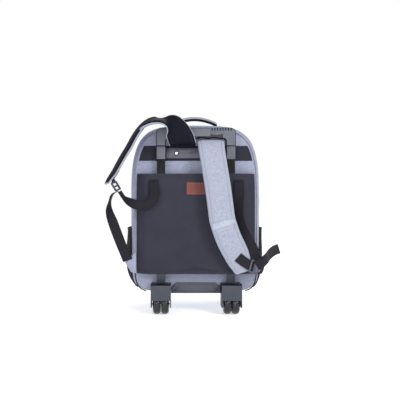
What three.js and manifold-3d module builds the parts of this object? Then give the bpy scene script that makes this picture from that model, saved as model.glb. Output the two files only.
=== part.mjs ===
// Wheeled backpack: a cloth bag on a telescopic trolley, with two padded shoulder straps.
// Millimetres, +Z up. X runs across the back, the straps are on the -Y side, and the floor is z = 0.

import * as THREE from 'three';
import { mergeVertices } from 'three/addons/utils/BufferGeometryUtils.js';
import Module from 'manifold-3d';

const wasm = await Module();
wasm.setup();

// Clearances
const FIT = 0.3; // between pieces that touch
const SLIDE_GAP = 0.5; // round a tube that slides

// Bag
const BAG_HALF_WIDTH = 153; // at the back seam
const BAG_HEIGHT = 409; // of the back seam
const BAG_FLOOR = 54; // lowest cloth above the ground
const BAG_DEPTH = 185;
const SIDE_SWELL = 15; // how far the sides stand out past the back seam
const TOP_SWELL = 17;
const FRONT_SWELL = 9;
const CLOTH = 2; // padded polyester wall
const TOP_SQUARENESS = 4; // exponent of the round top
const FOOT_SQUARENESS = 10; // exponent of the tight bottom corners
const RING_POINTS = 36; // corners of one cross section of the bag

// Zip, seams and pockets
const ZIP_START = 125; // from the back panel
const ZIP_WIDTH = 12;
const ZIP_PROUD = 0.8;
const SLIDER_LENGTH = 11;
const SLIDER_WIDTH = 8;
const SLIDER_HEIGHT = 3.5;
const PULL_LENGTH = 16;
const PULL_WIDTH = 5;
const PULL_THICKNESS = 1.5;
const SLIDER_UP = 0.4; // share of the bag's height
const PIPING_RADIUS = 1.5;
const PIPING_SET_BACK = 0.6; // behind the back panel's face
const CORD_JOINT = 0.02; // share of a corner left open at each cord's end
const BINDING_END = 7; // corners of the outline below the middle, where the black binding stops
const POCKET_BACK = 20;
const POCKET_FRONT = 118;
const POCKET_STEP = 17; // widest strip of the pocket's mesh
const POCKET_TOP = 158; // above the bag's floor
const MESH_CLOTH = 1.5;
const CORNER_SAG = 0.4; // how far the flat facets cut the round corners
const POCKET_MOUTH = 6.5; // how far the open mouth stands off the bag
const POCKET_BULGE_LEFT = 12;
const POCKET_BULGE_RIGHT = 8;
const POCKET_FULLNESS = 0.7; // exponent: below 1 the pocket is full out to its side seams
const WING_THICKNESS = 4;
const LOOP_HALF_SPAN = 60;
const LOOP_RISE = 16;
const LOOP_WIDTH = 30;
const LOOP_THICKNESS = 9;
const LOOP_DEPTH_SHARE = 0.5;
const LOOP_FULLNESS = 0.8; // exponent: below 1 the arch is full towards its ends

// Trolley
const TUBE_OFFSET = 87.5; // from the middle to each tube
const TUBE_CENTRE_OUT = 12.5; // in front of the back panel
const TUBE_WIDTH = 21;
const TUBE_DEPTH = 13;
const TUBE_WALL = 1;
const TUBE_CORNER = 2;
const COLLAR_WIDTH = 25;
const COLLAR_DEPTH = 17;
const COLLAR_HEIGHT = 32;
const COLLAR_UP = 0.8117; // the collars' feet, as a share of the bag's height
const COLLAR_CORNER = 3;
const PLATE_HEIGHT = 26;
const PLATE_THICKNESS = 5;
const RIVET_OFFSET = 49;
const RIVET_HEAD_RADIUS = 4.5;
const RIVET_HEAD_HEIGHT = 2.2;
const RIVET_SHANK_RADIUS = 2;
const RIVET_RIM = 0.3; // the straight rim's share of the head's height
const RIVET_CROWN = 0.75; // the dome's share of the head's radius, four fifths of the way up
const BAND_WIDTH = 37.5;
const BAND_THICKNESS = 1.5;
const BAND_EDGE = 4; // between the band's ends and the back seam
const STAGE_STEP = 11; // from one tube's foot up to the foot of the tube inside it

// Grip
const GRIP_DEPTH = 17;
const GRIP_HEIGHT = 46; // legs and bar
const GRIP_REST_GAP = 1; // between the lowered grip and the collars
const GRIP_BEVEL = 1.5;
const BAR_HEIGHT = 27;
const LEG_WIDTH = 24;
const GRIP_CORNER = 14;
const WINDOW_CORNER = 8;
const SCALLOPS = 4;
const SCALLOP_DEPTH = 2.5;
const GRIP_PLATE_WIDTH = 72;
const GRIP_PLATE_HEIGHT = 18;
const GRIP_PLATE_THICKNESS = 1.2;
const GRIP_PLATE_CORNER = 3;
const GRIP_PLATE_LIFT = 1; // above the bar's middle
const GROOVES = 8;
const GROOVE_START = 40;
const GROOVE_PITCH = 6.8;
const GROOVE_WIDTH = 2.6;
const GROOVE_LENGTH = 8;
const GROOVE_CUT = 1.6;

// Wheels and base
const WHEEL_RADIUS = 25;
const WHEEL_WIDTH = 19.4;
const WHEEL_GAP = 1; // between the two wheels of a pair
const WHEEL_HUB_RADIUS = 9;
const HUB_PROUD = 0.8;
const TREAD_ROUNDING = 6;
const TREAD_SHOULDER = 0.3; // share of the rounding where its one bend lies
const AXLE_RADIUS = 3;
const AXLE_OUT = 22; // in front of the back panel
const HOUSING_WIDTH = 50;
const HOUSING_DEPTH = 46.7;
const HOUSING_TOP = 75.5;
const HOUSING_WALL = 2.6;
const HOUSING_CORNER = 8; // of the cheeks' lower corners
const HOUSING_BEVEL = 2; // along the front wall's top edge
const CHEEK_FOOT = 18; // lowest edge of the side cheeks
const FRONT_WALL_FOOT = 36; // lowest edge of the front wall
const WHEEL_HEADROOM = 3;
const BASE_HEIGHT = 26;
const BASE_THICKNESS = 9;
const BASE_CHAMFER = 12;
const BASE_FACE_PROUD = 1.5;
const BASE_FACE_EDGE = 5;
const FOOT_WIDTH = 20;
const FOOT_LENGTH = 34;
const FOOT_DEPTH_SHARE = 0.85;
const FOOT_TAPER = 0.8;

// Cover panel
const PANEL_BOTTOM = 99.5;
const PANEL_HEIGHT = 250.5;
const PANEL_THICKNESS = 1.8;
const PANEL_EDGE = 3.5; // between its side seams and the back seam
const PANEL_TUBE_GAP = 0.8;
const PANEL_SLOPE = 27; // width of the sloping strip at each side
const PANEL_FOLD = 3; // height of the soft folds
const HUMP_ACROSS = 0.1; // the hump's middle, as a share of the half width
const HUMP_WIDTH = 0.24;
const HUMP_HEIGHT = 0.14;
const WAVE_HEIGHT = 0.35; // of the waves, as a share of the folds' height
const WAVE_TURN = 7; // across the panel, in radians for each half width
const WAVE_LEAN = 2;
const LABEL_WIDTH = 47;
const LABEL_HEIGHT = 31;
const LABEL_THICKNESS = 0.8;
const LABEL_UP = 0.852; // share of the panel's height, as for the patches
const PATCH_WIDTH = 25;
const PATCH_HEIGHT = 34;
const PATCH_OFFSET = 106;
const PATCH_UP = 0.87;
const WEBBING_WIDTH = 25;
const WEBBING_THICKNESS = 1.6;

// Shoulder straps
const STRAP_REACH = 60; // unit of the strap tables, out from the back panel
const STRAP_WIDTH = 65;
const STRAP_THICKNESS = 11;
const PAD_SLOPE = 0.6; // width of the sloping edges, as a share of the thickness
const PAD_EDGE = 0.4; // share of the thickness at the two edges
const REFLECTIVE_WIDTH = 13;
const REFLECTIVE_THICKNESS = 0.6;
const REFLECTIVE_ALONG = 0.6;
const LOCK_WIDTH = 33;
const LOCK_LENGTH = 24;
const LOCK_THICKNESS = 4;
const LOCK_BAR = 4;
const LOCK_CORNER = 3;
const SLOT_CORNER = 1;
const TAB_CLEARANCE = 0.5; // between a strap's curved face and the tab sewn on it
const FRONT_REACH = 82; // of the strap that is flipped over the grip

// Where the tabs are sewn: start and run are shares of the strap's route, drift is sideways
const LEFT_TAB = { start: 0.85, run: 0.04, drift: 0 };
const RIGHT_TAB = { start: 0.87, run: 0.06, drift: 9 };

// Worked out from the sizes above
const BAG_TOP = BAG_FLOOR + BAG_HEIGHT;
const BAG_MIDDLE = BAG_FLOOR + BAG_HEIGHT / 2;
const ZIP_END = ZIP_START + ZIP_WIDTH;
const COLLAR_BOTTOM = BAG_FLOOR + COLLAR_UP * BAG_HEIGHT;
const COLLAR_TOP = COLLAR_BOTTOM + COLLAR_HEIGHT;
const GRIP_FOOT = COLLAR_TOP + GRIP_REST_GAP;
const GRIP_TOP = GRIP_FOOT + GRIP_HEIGHT;
const GRIP_HALF_WIDTH = TUBE_OFFSET + LEG_WIDTH / 2;
const GRIP_FRONT = -TUBE_CENTRE_OUT - GRIP_DEPTH / 2;
const BAR_BOTTOM = GRIP_TOP - BAR_HEIGHT;
const NEST = 2 * TUBE_WALL + 2 * SLIDE_GAP; // how much narrower each tube is than the one around it
const MIDDLE_WIDTH = TUBE_WIDTH - NEST;
const MIDDLE_DEPTH = TUBE_DEPTH - NEST;
const INNER_WIDTH = MIDDLE_WIDTH - NEST;
const INNER_DEPTH = MIDDLE_DEPTH - NEST;
const TUBE_FRONT = -TUBE_CENTRE_OUT - TUBE_DEPTH / 2;
const TUBE_FOOT = HOUSING_TOP + FIT;
const BASE_HALF_WIDTH = TUBE_OFFSET - HOUSING_WIDTH / 2 - FIT;
const PANEL_INNER = TUBE_FRONT - PANEL_TUBE_GAP;
const PANEL_FRONT = PANEL_INNER - PANEL_THICKNESS;
const BACK_PLANE = (FRONT_REACH - BAG_DEPTH - FRONT_SWELL) / 2;

// Swelling of the bag's sides from the back panel to the front, as shares of depth and swell
const SWELL_ROWS = [
  { depth: 0.0, swell: 0.0 },
  { depth: 0.03, swell: 0.3 },
  { depth: 0.12, swell: 0.72 },
  { depth: 0.36, swell: 1.0 },
  { depth: 0.62, swell: 1.0 },
  { depth: 0.86, swell: 0.8 },
  { depth: 0.96, swell: 0.45 },
  { depth: 1.0, swell: 0.1 },
];

// Padded front face: each row is a share of the outline and of the bulge
const FRONT_ROWS = [
  { size: 0.95, bulge: 0.45 },
  { size: 0.8, bulge: 0.8 },
  { size: 0.5, bulge: 0.97 },
  { size: 0.15, bulge: 1.0 },
];

// Mesh pockets from the bottom corner to the mouth: height as a share of the pocket's, and how much of
// the bulge and of the mouth's stand-off each row has
const POCKET_ROWS = [
  { up: 0.05, bulge: 0.0, mouth: 0.0 },
  { up: 0.08, bulge: 0.05, mouth: 0.0 },
  { up: 0.12, bulge: 0.15, mouth: 0.0 },
  { up: 0.2, bulge: 0.4, mouth: 0.0 },
  { up: 0.32, bulge: 0.75, mouth: 0.0 },
  { up: 0.48, bulge: 1.0, mouth: 0.0 },
  { up: 0.66, bulge: 0.85, mouth: 0.1 },
  { up: 0.84, bulge: 0.35, mouth: 0.6 },
  { up: 1.0, bulge: 0.0, mouth: 1.0 },
];

// Strap and webbing routes. across is a share of the bag's half width, out of the strap reach and up of
// the bag's height. side is the direction of the band's width, width and thick are shares of its size.
const RIGHT_STRAP_ROWS = [
  { across: 0.248, out: 0.043, up: 0.918, side: [1, 0, 0], width: 1.0, thick: 0.3 },
  { across: 0.243, out: 0.24, up: 0.919, side: [1, 0, 0], width: 1.0, thick: 0.6 },
  { across: 0.24, out: 0.5, up: 0.914, side: [1, 0, 0], width: 1.0, thick: 0.85 },
  { across: 0.25, out: 0.7, up: 0.86, side: [1, 0, 0], width: 0.97, thick: 1.0 },
  { across: 0.28, out: 0.77, up: 0.79, side: [1, 0, 0], width: 0.95, thick: 1.0 },
  { across: 0.306, out: 0.82, up: 0.723, side: [1, 0, 0], width: 0.95, thick: 1.0 },
  { across: 0.341, out: 0.88, up: 0.641, side: [1, 0, 0], width: 0.95, thick: 1.0 },
  { across: 0.386, out: 0.93, up: 0.51, side: [1, 0, 0], width: 0.95, thick: 1.0 },
  { across: 0.41, out: 0.93, up: 0.445, side: [1, 0, 0], width: 0.95, thick: 1.0 },
  { across: 0.457, out: 0.9, up: 0.388, side: [1, 0, 0], width: 0.95, thick: 1.0 },
  { across: 0.516, out: 0.85, up: 0.33, side: [1, 0, 0.1], width: 0.95, thick: 1.0 },
  { across: 0.582, out: 0.78, up: 0.28, side: [1, 0, 0.3], width: 0.95, thick: 0.95 },
  { across: 0.651, out: 0.71, up: 0.23, side: [1, 0, 0.4], width: 0.92, thick: 0.9 },
  { across: 0.7, out: 0.65, up: 0.187, side: [1, 0, 0.5], width: 0.85, thick: 0.75 },
  { across: 0.752, out: 0.6, up: 0.125, side: [1, 0, 0.6], width: 0.55, thick: 0.5 },
];
const LEFT_STRAP_ROWS = [
  { across: -0.209, out: 0.05, up: 0.899, side: [1, 0, 0], width: 1.0, thick: 0.3 },
  { across: -0.211, out: 0.24, up: 0.9, side: [1, 0, 0], width: 1.0, thick: 0.5 },
  { across: -0.22, out: 0.52, up: 0.907, side: [1, 0, 0], width: 1.0, thick: 0.8 },
  { across: -0.262, out: 0.64, up: 0.945, side: [1, 0.05, 0.15], width: 0.98, thick: 1.0 },
  { across: -0.35, out: 0.745, up: 0.995, side: [0.88, 0.4, 0.2], width: 0.95, thick: 1.0 },
  { across: -0.46, out: 0.885, up: 1.026, side: [0.55, 0.78, 0.25], width: 0.95, thick: 1.0 },
  { across: -0.59, out: 0.915, up: 1.034, side: [0.18, 0.94, 0.25], width: 0.95, thick: 1.0 },
  { across: -0.716, out: 0.82, up: 1.032, side: [0, 0.95, 0.28], width: 0.95, thick: 1.0 },
  { across: -0.841, out: 0.533, up: 1.018, side: [-0.1, 0.96, 0.25], width: 0.95, thick: 1.0 },
  { across: -0.938, out: 0.433, up: 0.982, side: [-0.2, 0.97, 0.15], width: 0.95, thick: 1.0 },
  { across: -1.011, out: 0.42, up: 0.94, side: [-0.22, 0.97, 0.13], width: 0.95, thick: 1.0 },
  { across: -1.088, out: 0.45, up: 0.885, side: [-0.22, 0.97, 0.13], width: 0.95, thick: 1.0 },
  { across: -1.175, out: 0.52, up: 0.83, side: [-0.22, 0.97, 0.13], width: 0.95, thick: 1.0 },
  { across: -1.254, out: 0.62, up: 0.775, side: [-0.22, 0.97, 0.13], width: 0.92, thick: 0.95 },
  { across: -1.323, out: 0.72, up: 0.726, side: [-0.22, 0.97, 0.13], width: 0.85, thick: 0.9 },
  { across: -1.392, out: 0.8, up: 0.687, side: [-0.22, 0.97, 0.13], width: 0.72, thick: 0.75 },
  { across: -1.438, out: 0.86, up: 0.66, side: [-0.22, 0.97, 0.13], width: 0.5, thick: 0.5 },
];
const RIGHT_PANEL_WEBBING_ROWS = [
  { across: 0.697, out: 0.425, up: 0.672, side: [1, 0, 0] },
  { across: 0.695, out: 0.47, up: 0.61, side: [1, 0, 0] },
  { across: 0.685, out: 0.58, up: 0.534, side: [0.85, -0.5, 0] },
  { across: 0.692, out: 0.64, up: 0.459, side: [0.8, -0.6, 0] },
  { across: 0.745, out: 0.63, up: 0.393, side: [0.9, -0.45, 0.2] },
  { across: 0.84, out: 0.62, up: 0.318, side: [1, -0.2, 0.3] },
  { across: 0.935, out: 0.65, up: 0.25, side: [1, 0, 0.3] },
  { across: 0.965, out: 0.685, up: 0.19, side: [1, 0, 0.3] },
];
const LEFT_PANEL_WEBBING_ROWS = [
  { across: -0.7, out: 0.425, up: 0.672, side: [1, 0, 0] },
  { across: -0.675, out: 0.48, up: 0.618, side: [1, 0, 0.1] },
  { across: -0.69, out: 0.55, up: 0.57, side: [0.85, 0, -0.45] },
  { across: -0.78, out: 0.59, up: 0.538, side: [0.4, 0, -0.9] },
  { across: -0.9, out: 0.68, up: 0.53, side: [0, 0, -1] },
  { across: -1.03, out: 0.77, up: 0.543, side: [0.1, -0.35, -0.95] },
  { across: -1.15, out: 0.83, up: 0.57, side: [0.1, -0.8, -0.6] },
  { across: -1.232, out: 0.84, up: 0.6145, side: [-0.3, -1, -0.12] },
];
const RIGHT_LOWER_WEBBING_ROWS = [
  { across: 1.032, out: 0.74, up: 0.148, side: [0.3, 0, 1] },
  { across: 1.062, out: 0.67, up: 0.148, side: [0.25, 0, 1] },
  { across: 1.082, out: 0.5, up: 0.155, side: [0.1, 0, 1] },
  { across: 1.12, out: 0.15, up: 0.172, side: [0, 0, 1] },
];
const LEFT_LOWER_WEBBING_ROWS = [
  { across: -1.258, out: 0.84, up: 0.6145, side: [0.3, 1, 0.17] },
  { across: -1.345, out: 0.82, up: 0.598, side: [0.15, 1, 0.05] },
  { across: -1.395, out: 0.77, up: 0.555, side: [0.1, 1, 0] },
  { across: -1.41, out: 0.69, up: 0.505, side: [0.5, 0.85, 0.1] },
  { across: -1.342, out: 0.5, up: 0.418, side: [0.9, 0.3, 0.3] },
  { across: -1.249, out: 0.3, up: 0.316, side: [0.95, 0, 0.3] },
  { across: -1.12, out: 0.15, up: 0.19, side: [0.95, 0, 0.35] },
];
const TAIL_ROWS = [
  { across: 0.96, out: 0.805, up: 0.17, side: [-0.15, 0, 1] },
  { across: 1.05, out: 0.83, up: 0.19, side: [-0.15, 0, 1] },
  { across: 1.12, out: 0.66, up: 0.207, side: [-0.2, 0, 1] },
  { across: 1.2, out: 0.2, up: 0.226, side: [-0.2, 0, 1] },
  { across: 1.32, out: -0.35, up: 0.245, side: [-0.25, 0.1, 1] },
  { across: 1.43, out: -0.75, up: 0.252, side: [-0.3, 0.1, 1] },
];

// Corners of the cloth tabs at the bag's lower corners, as shares of half width and bag height
const LEFT_WING_CORNERS = [
  { across: -0.985, up: 0.246 },
  { across: -1.167, up: 0.178 },
  { across: -1.065, up: 0.119 },
  { across: -0.985, up: 0.11 },
];
const RIGHT_WING_CORNERS = [
  { across: 0.985, up: 0.21 },
  { across: 1.177, up: 0.195 },
  { across: 1.075, up: 0.127 },
  { across: 0.985, up: 0.11 },
];

// Solids

// Joins rings of an even number of corners. Both faces of a flat ring are split the same way, and the two
// ends are closed by strips that run across the ring.
function loft(rings, ringsClose = false) {
  const count = rings[0].length;
  const positions = [];
  rings.forEach((ring) => ring.forEach((point) => positions.push(point.x, point.y, point.z)));
  const indices = [];
  const spans = ringsClose ? rings.length : rings.length - 1;
  for (let i = 0; i < spans; i += 1) {
    const here = i * count;
    const next = ((i + 1) % rings.length) * count;
    for (let j = 0; j < count; j += 1) {
      const k = (j + 1) % count;
      if (j < count / 2) {
        indices.push(here + j, here + k, next + k, here + j, next + k, next + j);
      } else {
        indices.push(here + j, here + k, next + j, here + k, next + k, next + j);
      }
    }
  }
  if (!ringsClose) {
    const end = (rings.length - 1) * count;
    for (let j = 0; j < count / 2 - 1; j += 1) {
      const across = count - 1 - j;
      indices.push(j, across, j + 1, j + 1, across, across - 1);
      indices.push(end + j, end + j + 1, end + across, end + j + 1, end + across - 1, end + across);
    }
  }
  const geometry = new THREE.BufferGeometry();
  geometry.setAttribute('position', new THREE.Float32BufferAttribute(positions, 3));
  geometry.setIndex(indices);
  return facedOutward(geometry);
}

function signedVolume(geometry) {
  const position = geometry.getAttribute('position');
  const index = geometry.getIndex();
  const a = new THREE.Vector3();
  const b = new THREE.Vector3();
  const c = new THREE.Vector3();
  let volume = 0;
  for (let i = 0; i < index.count; i += 3) {
    a.fromBufferAttribute(position, index.getX(i));
    b.fromBufferAttribute(position, index.getX(i + 1));
    c.fromBufferAttribute(position, index.getX(i + 2));
    volume += a.dot(b.cross(c)) / 6;
  }
  return volume;
}

function facedOutward(geometry) {
  if (signedVolume(geometry) < 0) {
    const index = geometry.getIndex();
    for (let i = 0; i < index.count; i += 3) {
      const second = index.getX(i + 1);
      index.setX(i + 1, index.getX(i + 2));
      index.setX(i + 2, second);
    }
  }
  return geometry;
}

function toSolid(geometry) {
  const bare = geometry.clone();
  bare.deleteAttribute('normal');
  bare.deleteAttribute('uv');
  const merged = mergeVertices(bare, 1e-4);
  const mesh = new wasm.Mesh({
    numProp: 3,
    vertProperties: new Float32Array(merged.getAttribute('position').array),
    triVerts: new Uint32Array(merged.getIndex().array),
  });
  return new wasm.Manifold(mesh);
}

function toGeometry(solid) {
  const mesh = solid.getMesh();
  const geometry = new THREE.BufferGeometry();
  geometry.setAttribute('position', new THREE.BufferAttribute(mesh.vertProperties, 3));
  geometry.setIndex(new THREE.BufferAttribute(mesh.triVerts, 1));
  return geometry;
}

function box(width, depth, height, x, y, z) {
  return new THREE.BoxGeometry(width, depth, height).translate(x, y, z);
}

// A shape drawn in x and z, given a depth along y from near to far
function slab(shape, near, far, curveSegments = 4) {
  const geometry = new THREE.ExtrudeGeometry(shape, {
    depth: far - near,
    bevelEnabled: false,
    curveSegments,
  });
  return geometry.rotateX(Math.PI / 2).translate(0, far, 0);
}

// A shape drawn in x and y, given a height along z from low to high
function column(shape, low, high) {
  const geometry = new THREE.ExtrudeGeometry(shape, {
    depth: high - low,
    bevelEnabled: false,
    curveSegments: 2,
  });
  return geometry.translate(0, 0, low);
}

function roundedRectangle(target, width, depth, radius, x = 0, y = 0) {
  const left = x - width / 2;
  const right = x + width / 2;
  const low = y - depth / 2;
  const high = y + depth / 2;
  target.moveTo(left + radius, low);
  target.lineTo(right - radius, low);
  target.absarc(right - radius, low + radius, radius, -Math.PI / 2, 0);
  target.lineTo(right, high - radius);
  target.absarc(right - radius, high - radius, radius, 0, Math.PI / 2);
  target.lineTo(left + radius, high);
  target.absarc(left + radius, high - radius, radius, Math.PI / 2, Math.PI);
  target.lineTo(left, low + radius);
  target.absarc(left + radius, low + radius, radius, Math.PI, 1.5 * Math.PI);
  return target;
}

// Outline of the bag

function mixRows(rows, key, at, name) {
  const last = rows.length - 1;
  let i = 0;
  while (i < last - 1 && rows[i + 1][key] < at) {
    i += 1;
  }
  const share = (at - rows[i][key]) / (rows[i + 1][key] - rows[i][key]);
  const held = Math.min(Math.max(share, 0), 1);
  return rows[i][name] + held * (rows[i + 1][name] - rows[i][name]);
}

function swellAt(y) {
  return mixRows(SWELL_ROWS, 'depth', y / BAG_DEPTH, 'swell');
}

function halfWidthAt(y) {
  return BAG_HALF_WIDTH + SIDE_SWELL * swellAt(y);
}

function topAt(y) {
  return BAG_TOP + TOP_SWELL * swellAt(y);
}

function signedPower(value, power) {
  return Math.sign(value) * Math.abs(value) ** power;
}

// One cross section: a superellipse, rounder above the middle than below it
function bagPoint(angle, y, inset) {
  const above = Math.sin(angle) >= 0;
  const power = 2 / (above ? TOP_SQUARENESS : FOOT_SQUARENESS);
  const halfWidth = halfWidthAt(y) - inset;
  const halfHeight = (above ? topAt(y) - BAG_MIDDLE : BAG_MIDDLE - BAG_FLOOR) - inset;
  const x = halfWidth * signedPower(Math.cos(angle), power);
  const z = BAG_MIDDLE + halfHeight * signedPower(Math.sin(angle), power);
  return new THREE.Vector3(x, y, z);
}

function bagRing(y, inset = 0) {
  const ring = [];
  for (let i = 0; i < RING_POINTS; i += 1) {
    ring.push(bagPoint((i * 2 * Math.PI) / RING_POINTS, y, inset));
  }
  return ring;
}

// Half width of the bag at a height, and height of its top at a distance from the middle
function sideAt(y, z) {
  const above = z >= BAG_MIDDLE;
  const power = above ? TOP_SQUARENESS : FOOT_SQUARENESS;
  const halfHeight = above ? topAt(y) - BAG_MIDDLE : BAG_MIDDLE - BAG_FLOOR;
  const share = Math.min(Math.abs(z - BAG_MIDDLE) / halfHeight, 1);
  return halfWidthAt(y) * (1 - share ** power) ** (1 / power);
}

function topSurfaceAt(x, y) {
  const share = Math.min(Math.abs(x) / halfWidthAt(y), 1);
  return BAG_MIDDLE + (topAt(y) - BAG_MIDDLE) * (1 - share ** TOP_SQUARENESS) ** (1 / TOP_SQUARENESS);
}

function depthsBetween(start, end) {
  const inside = SWELL_ROWS.map((row) => row.depth * BAG_DEPTH).filter((y) => y > start + 1 && y < end - 1);
  return [start, ...inside, end];
}

// Shells

function backShell() {
  const outer = depthsBetween(0, ZIP_START).map((y) => bagRing(y));
  const inner = depthsBetween(CLOTH, ZIP_START).map((y) => bagRing(y, CLOTH));
  return loft([...outer, ...inner.reverse()]);
}

function shrunkRing(size, y, inset) {
  return bagRing(BAG_DEPTH, inset).map((point) => {
    const x = point.x * size;
    const z = BAG_MIDDLE + (point.z - BAG_MIDDLE) * size;
    return new THREE.Vector3(x, y, z);
  });
}

function frontShell() {
  const start = ZIP_END + 2 * FIT;
  const outer = depthsBetween(start, BAG_DEPTH).map((y) => bagRing(y));
  const face = FRONT_ROWS.map((row) => shrunkRing(row.size, BAG_DEPTH + row.bulge * FRONT_SWELL, 0));
  const lining = FRONT_ROWS.map((row) => {
    return shrunkRing(row.size, BAG_DEPTH + row.bulge * FRONT_SWELL - CLOTH, CLOTH);
  });
  const inner = depthsBetween(start, BAG_DEPTH - CLOTH).map((y) => bagRing(y, CLOTH));
  return loft([...face.reverse(), ...outer.reverse(), ...inner, ...lining]);
}

function zipTape() {
  const start = ZIP_START + FIT;
  const end = ZIP_END + FIT;
  const rings = [
    bagRing(start, -ZIP_PROUD),
    bagRing(end, -ZIP_PROUD),
    bagRing(end, CLOTH),
    bagRing(start, CLOTH),
  ];
  return loft(rings, true);
}

function zipSlider() {
  const z = BAG_FLOOR + SLIDER_UP * BAG_HEIGHT;
  const y = ZIP_START + FIT + ZIP_WIDTH / 2;
  const x = sideAt(y, z) + ZIP_PROUD + FIT + SLIDER_HEIGHT / 2;
  return box(SLIDER_HEIGHT, SLIDER_WIDTH, SLIDER_LENGTH, x, y, z);
}

function zipPull() {
  const z = BAG_FLOOR + SLIDER_UP * BAG_HEIGHT;
  const y = ZIP_START + FIT + ZIP_WIDTH / 2;
  const x = sideAt(y, z) + ZIP_PROUD + SLIDER_HEIGHT + 2 * FIT + PULL_THICKNESS / 2;
  return box(PULL_THICKNESS, PULL_WIDTH, PULL_LENGTH, x, y, z - PULL_LENGTH / 2);
}

// A cord sewn along the back seam, between two corners of the outline counted from the right side
function seamCord(first, last, sides = 6) {
  const corners = [first];
  for (let i = Math.floor(first) + 1; i < last; i += 1) {
    corners.push(i);
  }
  corners.push(last);
  const rings = corners.map((corner) => {
    const angle = (corner * 2 * Math.PI) / RING_POINTS;
    const seam = bagPoint(angle, 0, 0);
    const outward = bagPoint(angle, 0, -1).sub(seam).normalize();
    const centre = seam.clone().addScaledVector(outward, PIPING_RADIUS + FIT);
    const ring = [];
    for (let j = 0; j < sides; j += 1) {
      const turn = (j * 2 * Math.PI) / sides;
      const point = centre.clone().addScaledVector(outward, PIPING_RADIUS * Math.cos(turn));
      point.y += PIPING_RADIUS * (Math.sin(turn) - 1) + PIPING_SET_BACK;
      ring.push(point);
    }
    return ring;
  });
  return loft(rings);
}

// The light piping ends one corner below the middle of each side, where the black binding starts

function seamPiping() {
  return seamCord(CORD_JOINT - 1, RING_POINTS / 2 + 1 - CORD_JOINT);
}

function cornerBinding(sign) {
  if (sign > 0) {
    return seamCord(-BINDING_END, -1 - CORD_JOINT);
  }
  return seamCord(RING_POINTS / 2 + 1 + CORD_JOINT, RING_POINTS / 2 + BINDING_END);
}

// Depths from start to end with the bag's own cross sections, no further apart than step
function finerDepths(start, end, step) {
  const knots = depthsBetween(start, end);
  const depths = [start];
  for (let i = 1; i < knots.length; i += 1) {
    const count = Math.ceil((knots[i] - knots[i - 1]) / step);
    for (let j = 1; j <= count; j += 1) {
      depths.push(knots[i - 1] + ((knots[i] - knots[i - 1]) * j) / count);
    }
  }
  return depths;
}

// Follows the bag from the tight bottom corner up to an open mouth
function meshPocket(sign, bulge) {
  const depths = finerDepths(POCKET_BACK, POCKET_FRONT, POCKET_STEP);
  const halfHeight = BAG_MIDDLE - BAG_FLOOR;
  const rings = POCKET_ROWS.map((row) => {
    const angle = -Math.asin(((halfHeight - row.up * POCKET_TOP) / halfHeight) ** (FOOT_SQUARENESS / 2));
    const reach = row.bulge * bulge + row.mouth * POCKET_MOUTH;
    const near = [];
    const far = [];
    depths.forEach((y) => {
      const along = (y - POCKET_BACK) / (POCKET_FRONT - POCKET_BACK);
      const lift = reach * Math.sin(Math.PI * along) ** POCKET_FULLNESS;
      const gap = FIT + CORNER_SAG + lift;
      const inner = bagPoint(angle, y, -gap);
      const outer = bagPoint(angle, y, -gap - MESH_CLOTH);
      inner.x *= sign;
      outer.x *= sign;
      near.push(inner);
      far.push(outer);
    });
    return [...near, ...far.reverse()];
  });
  return loft(rings);
}

function wing(corners) {
  const shape = new THREE.Shape();
  corners.forEach((corner, i) => {
    const x = corner.across * BAG_HALF_WIDTH;
    const z = BAG_FLOOR + corner.up * BAG_HEIGHT;
    if (i === 0) {
      shape.moveTo(x, -z);
    } else {
      shape.lineTo(x, -z);
    }
  });
  const far = PIPING_SET_BACK - 2 * PIPING_RADIUS - FIT;
  return slabMirrored(shape, far - WING_THICKNESS, far);
}

// As slab, for shapes drawn with z pointing down
function slabMirrored(shape, near, far) {
  const geometry = new THREE.ExtrudeGeometry(shape, { depth: far - near, bevelEnabled: false });
  return geometry.rotateX(-Math.PI / 2).translate(0, near, 0);
}

function haulLoop() {
  const y = LOOP_DEPTH_SHARE * BAG_DEPTH;
  const steps = 16;
  const rings = [];
  for (let i = 0; i <= steps; i += 1) {
    const share = (2 * i) / steps - 1;
    const x = share * LOOP_HALF_SPAN;
    const arch = Math.cos((share * Math.PI) / 2) ** LOOP_FULLNESS;
    const low = topSurfaceAt(x, y) + FIT + LOOP_RISE * arch;
    const half = LOOP_WIDTH / 2;
    const edge = LOOP_THICKNESS / 3;
    rings.push([
      new THREE.Vector3(x, y - half, low + edge),
      new THREE.Vector3(x, y - half + edge, low),
      new THREE.Vector3(x, y + half - edge, low),
      new THREE.Vector3(x, y + half, low + edge),
      new THREE.Vector3(x, y + half, low + LOOP_THICKNESS - edge),
      new THREE.Vector3(x, y + half - edge, low + LOOP_THICKNESS),
      new THREE.Vector3(x, y - half + edge, low + LOOP_THICKNESS),
      new THREE.Vector3(x, y - half, low + LOOP_THICKNESS - edge),
    ]);
  }
  return loft(rings);
}

// Back band and trolley bracket

function backBand() {
  const middle = COLLAR_BOTTOM + COLLAR_HEIGHT / 2;
  const low = middle - BAND_WIDTH / 2;
  const steps = 3;
  const shape = new THREE.Shape();
  for (let i = 0; i <= steps; i += 1) {
    const z = low + (i / steps) * BAND_WIDTH;
    const x = sideAt(0, z) - BAND_EDGE;
    if (i === 0) {
      shape.moveTo(x, -z);
    } else {
      shape.lineTo(x, -z);
    }
  }
  for (let i = steps; i >= 0; i -= 1) {
    const z = low + (i / steps) * BAND_WIDTH;
    shape.lineTo(-(sideAt(0, z) - BAND_EDGE), -z);
  }
  return slabMirrored(shape, -FIT - BAND_THICKNESS, -FIT);
}

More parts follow.
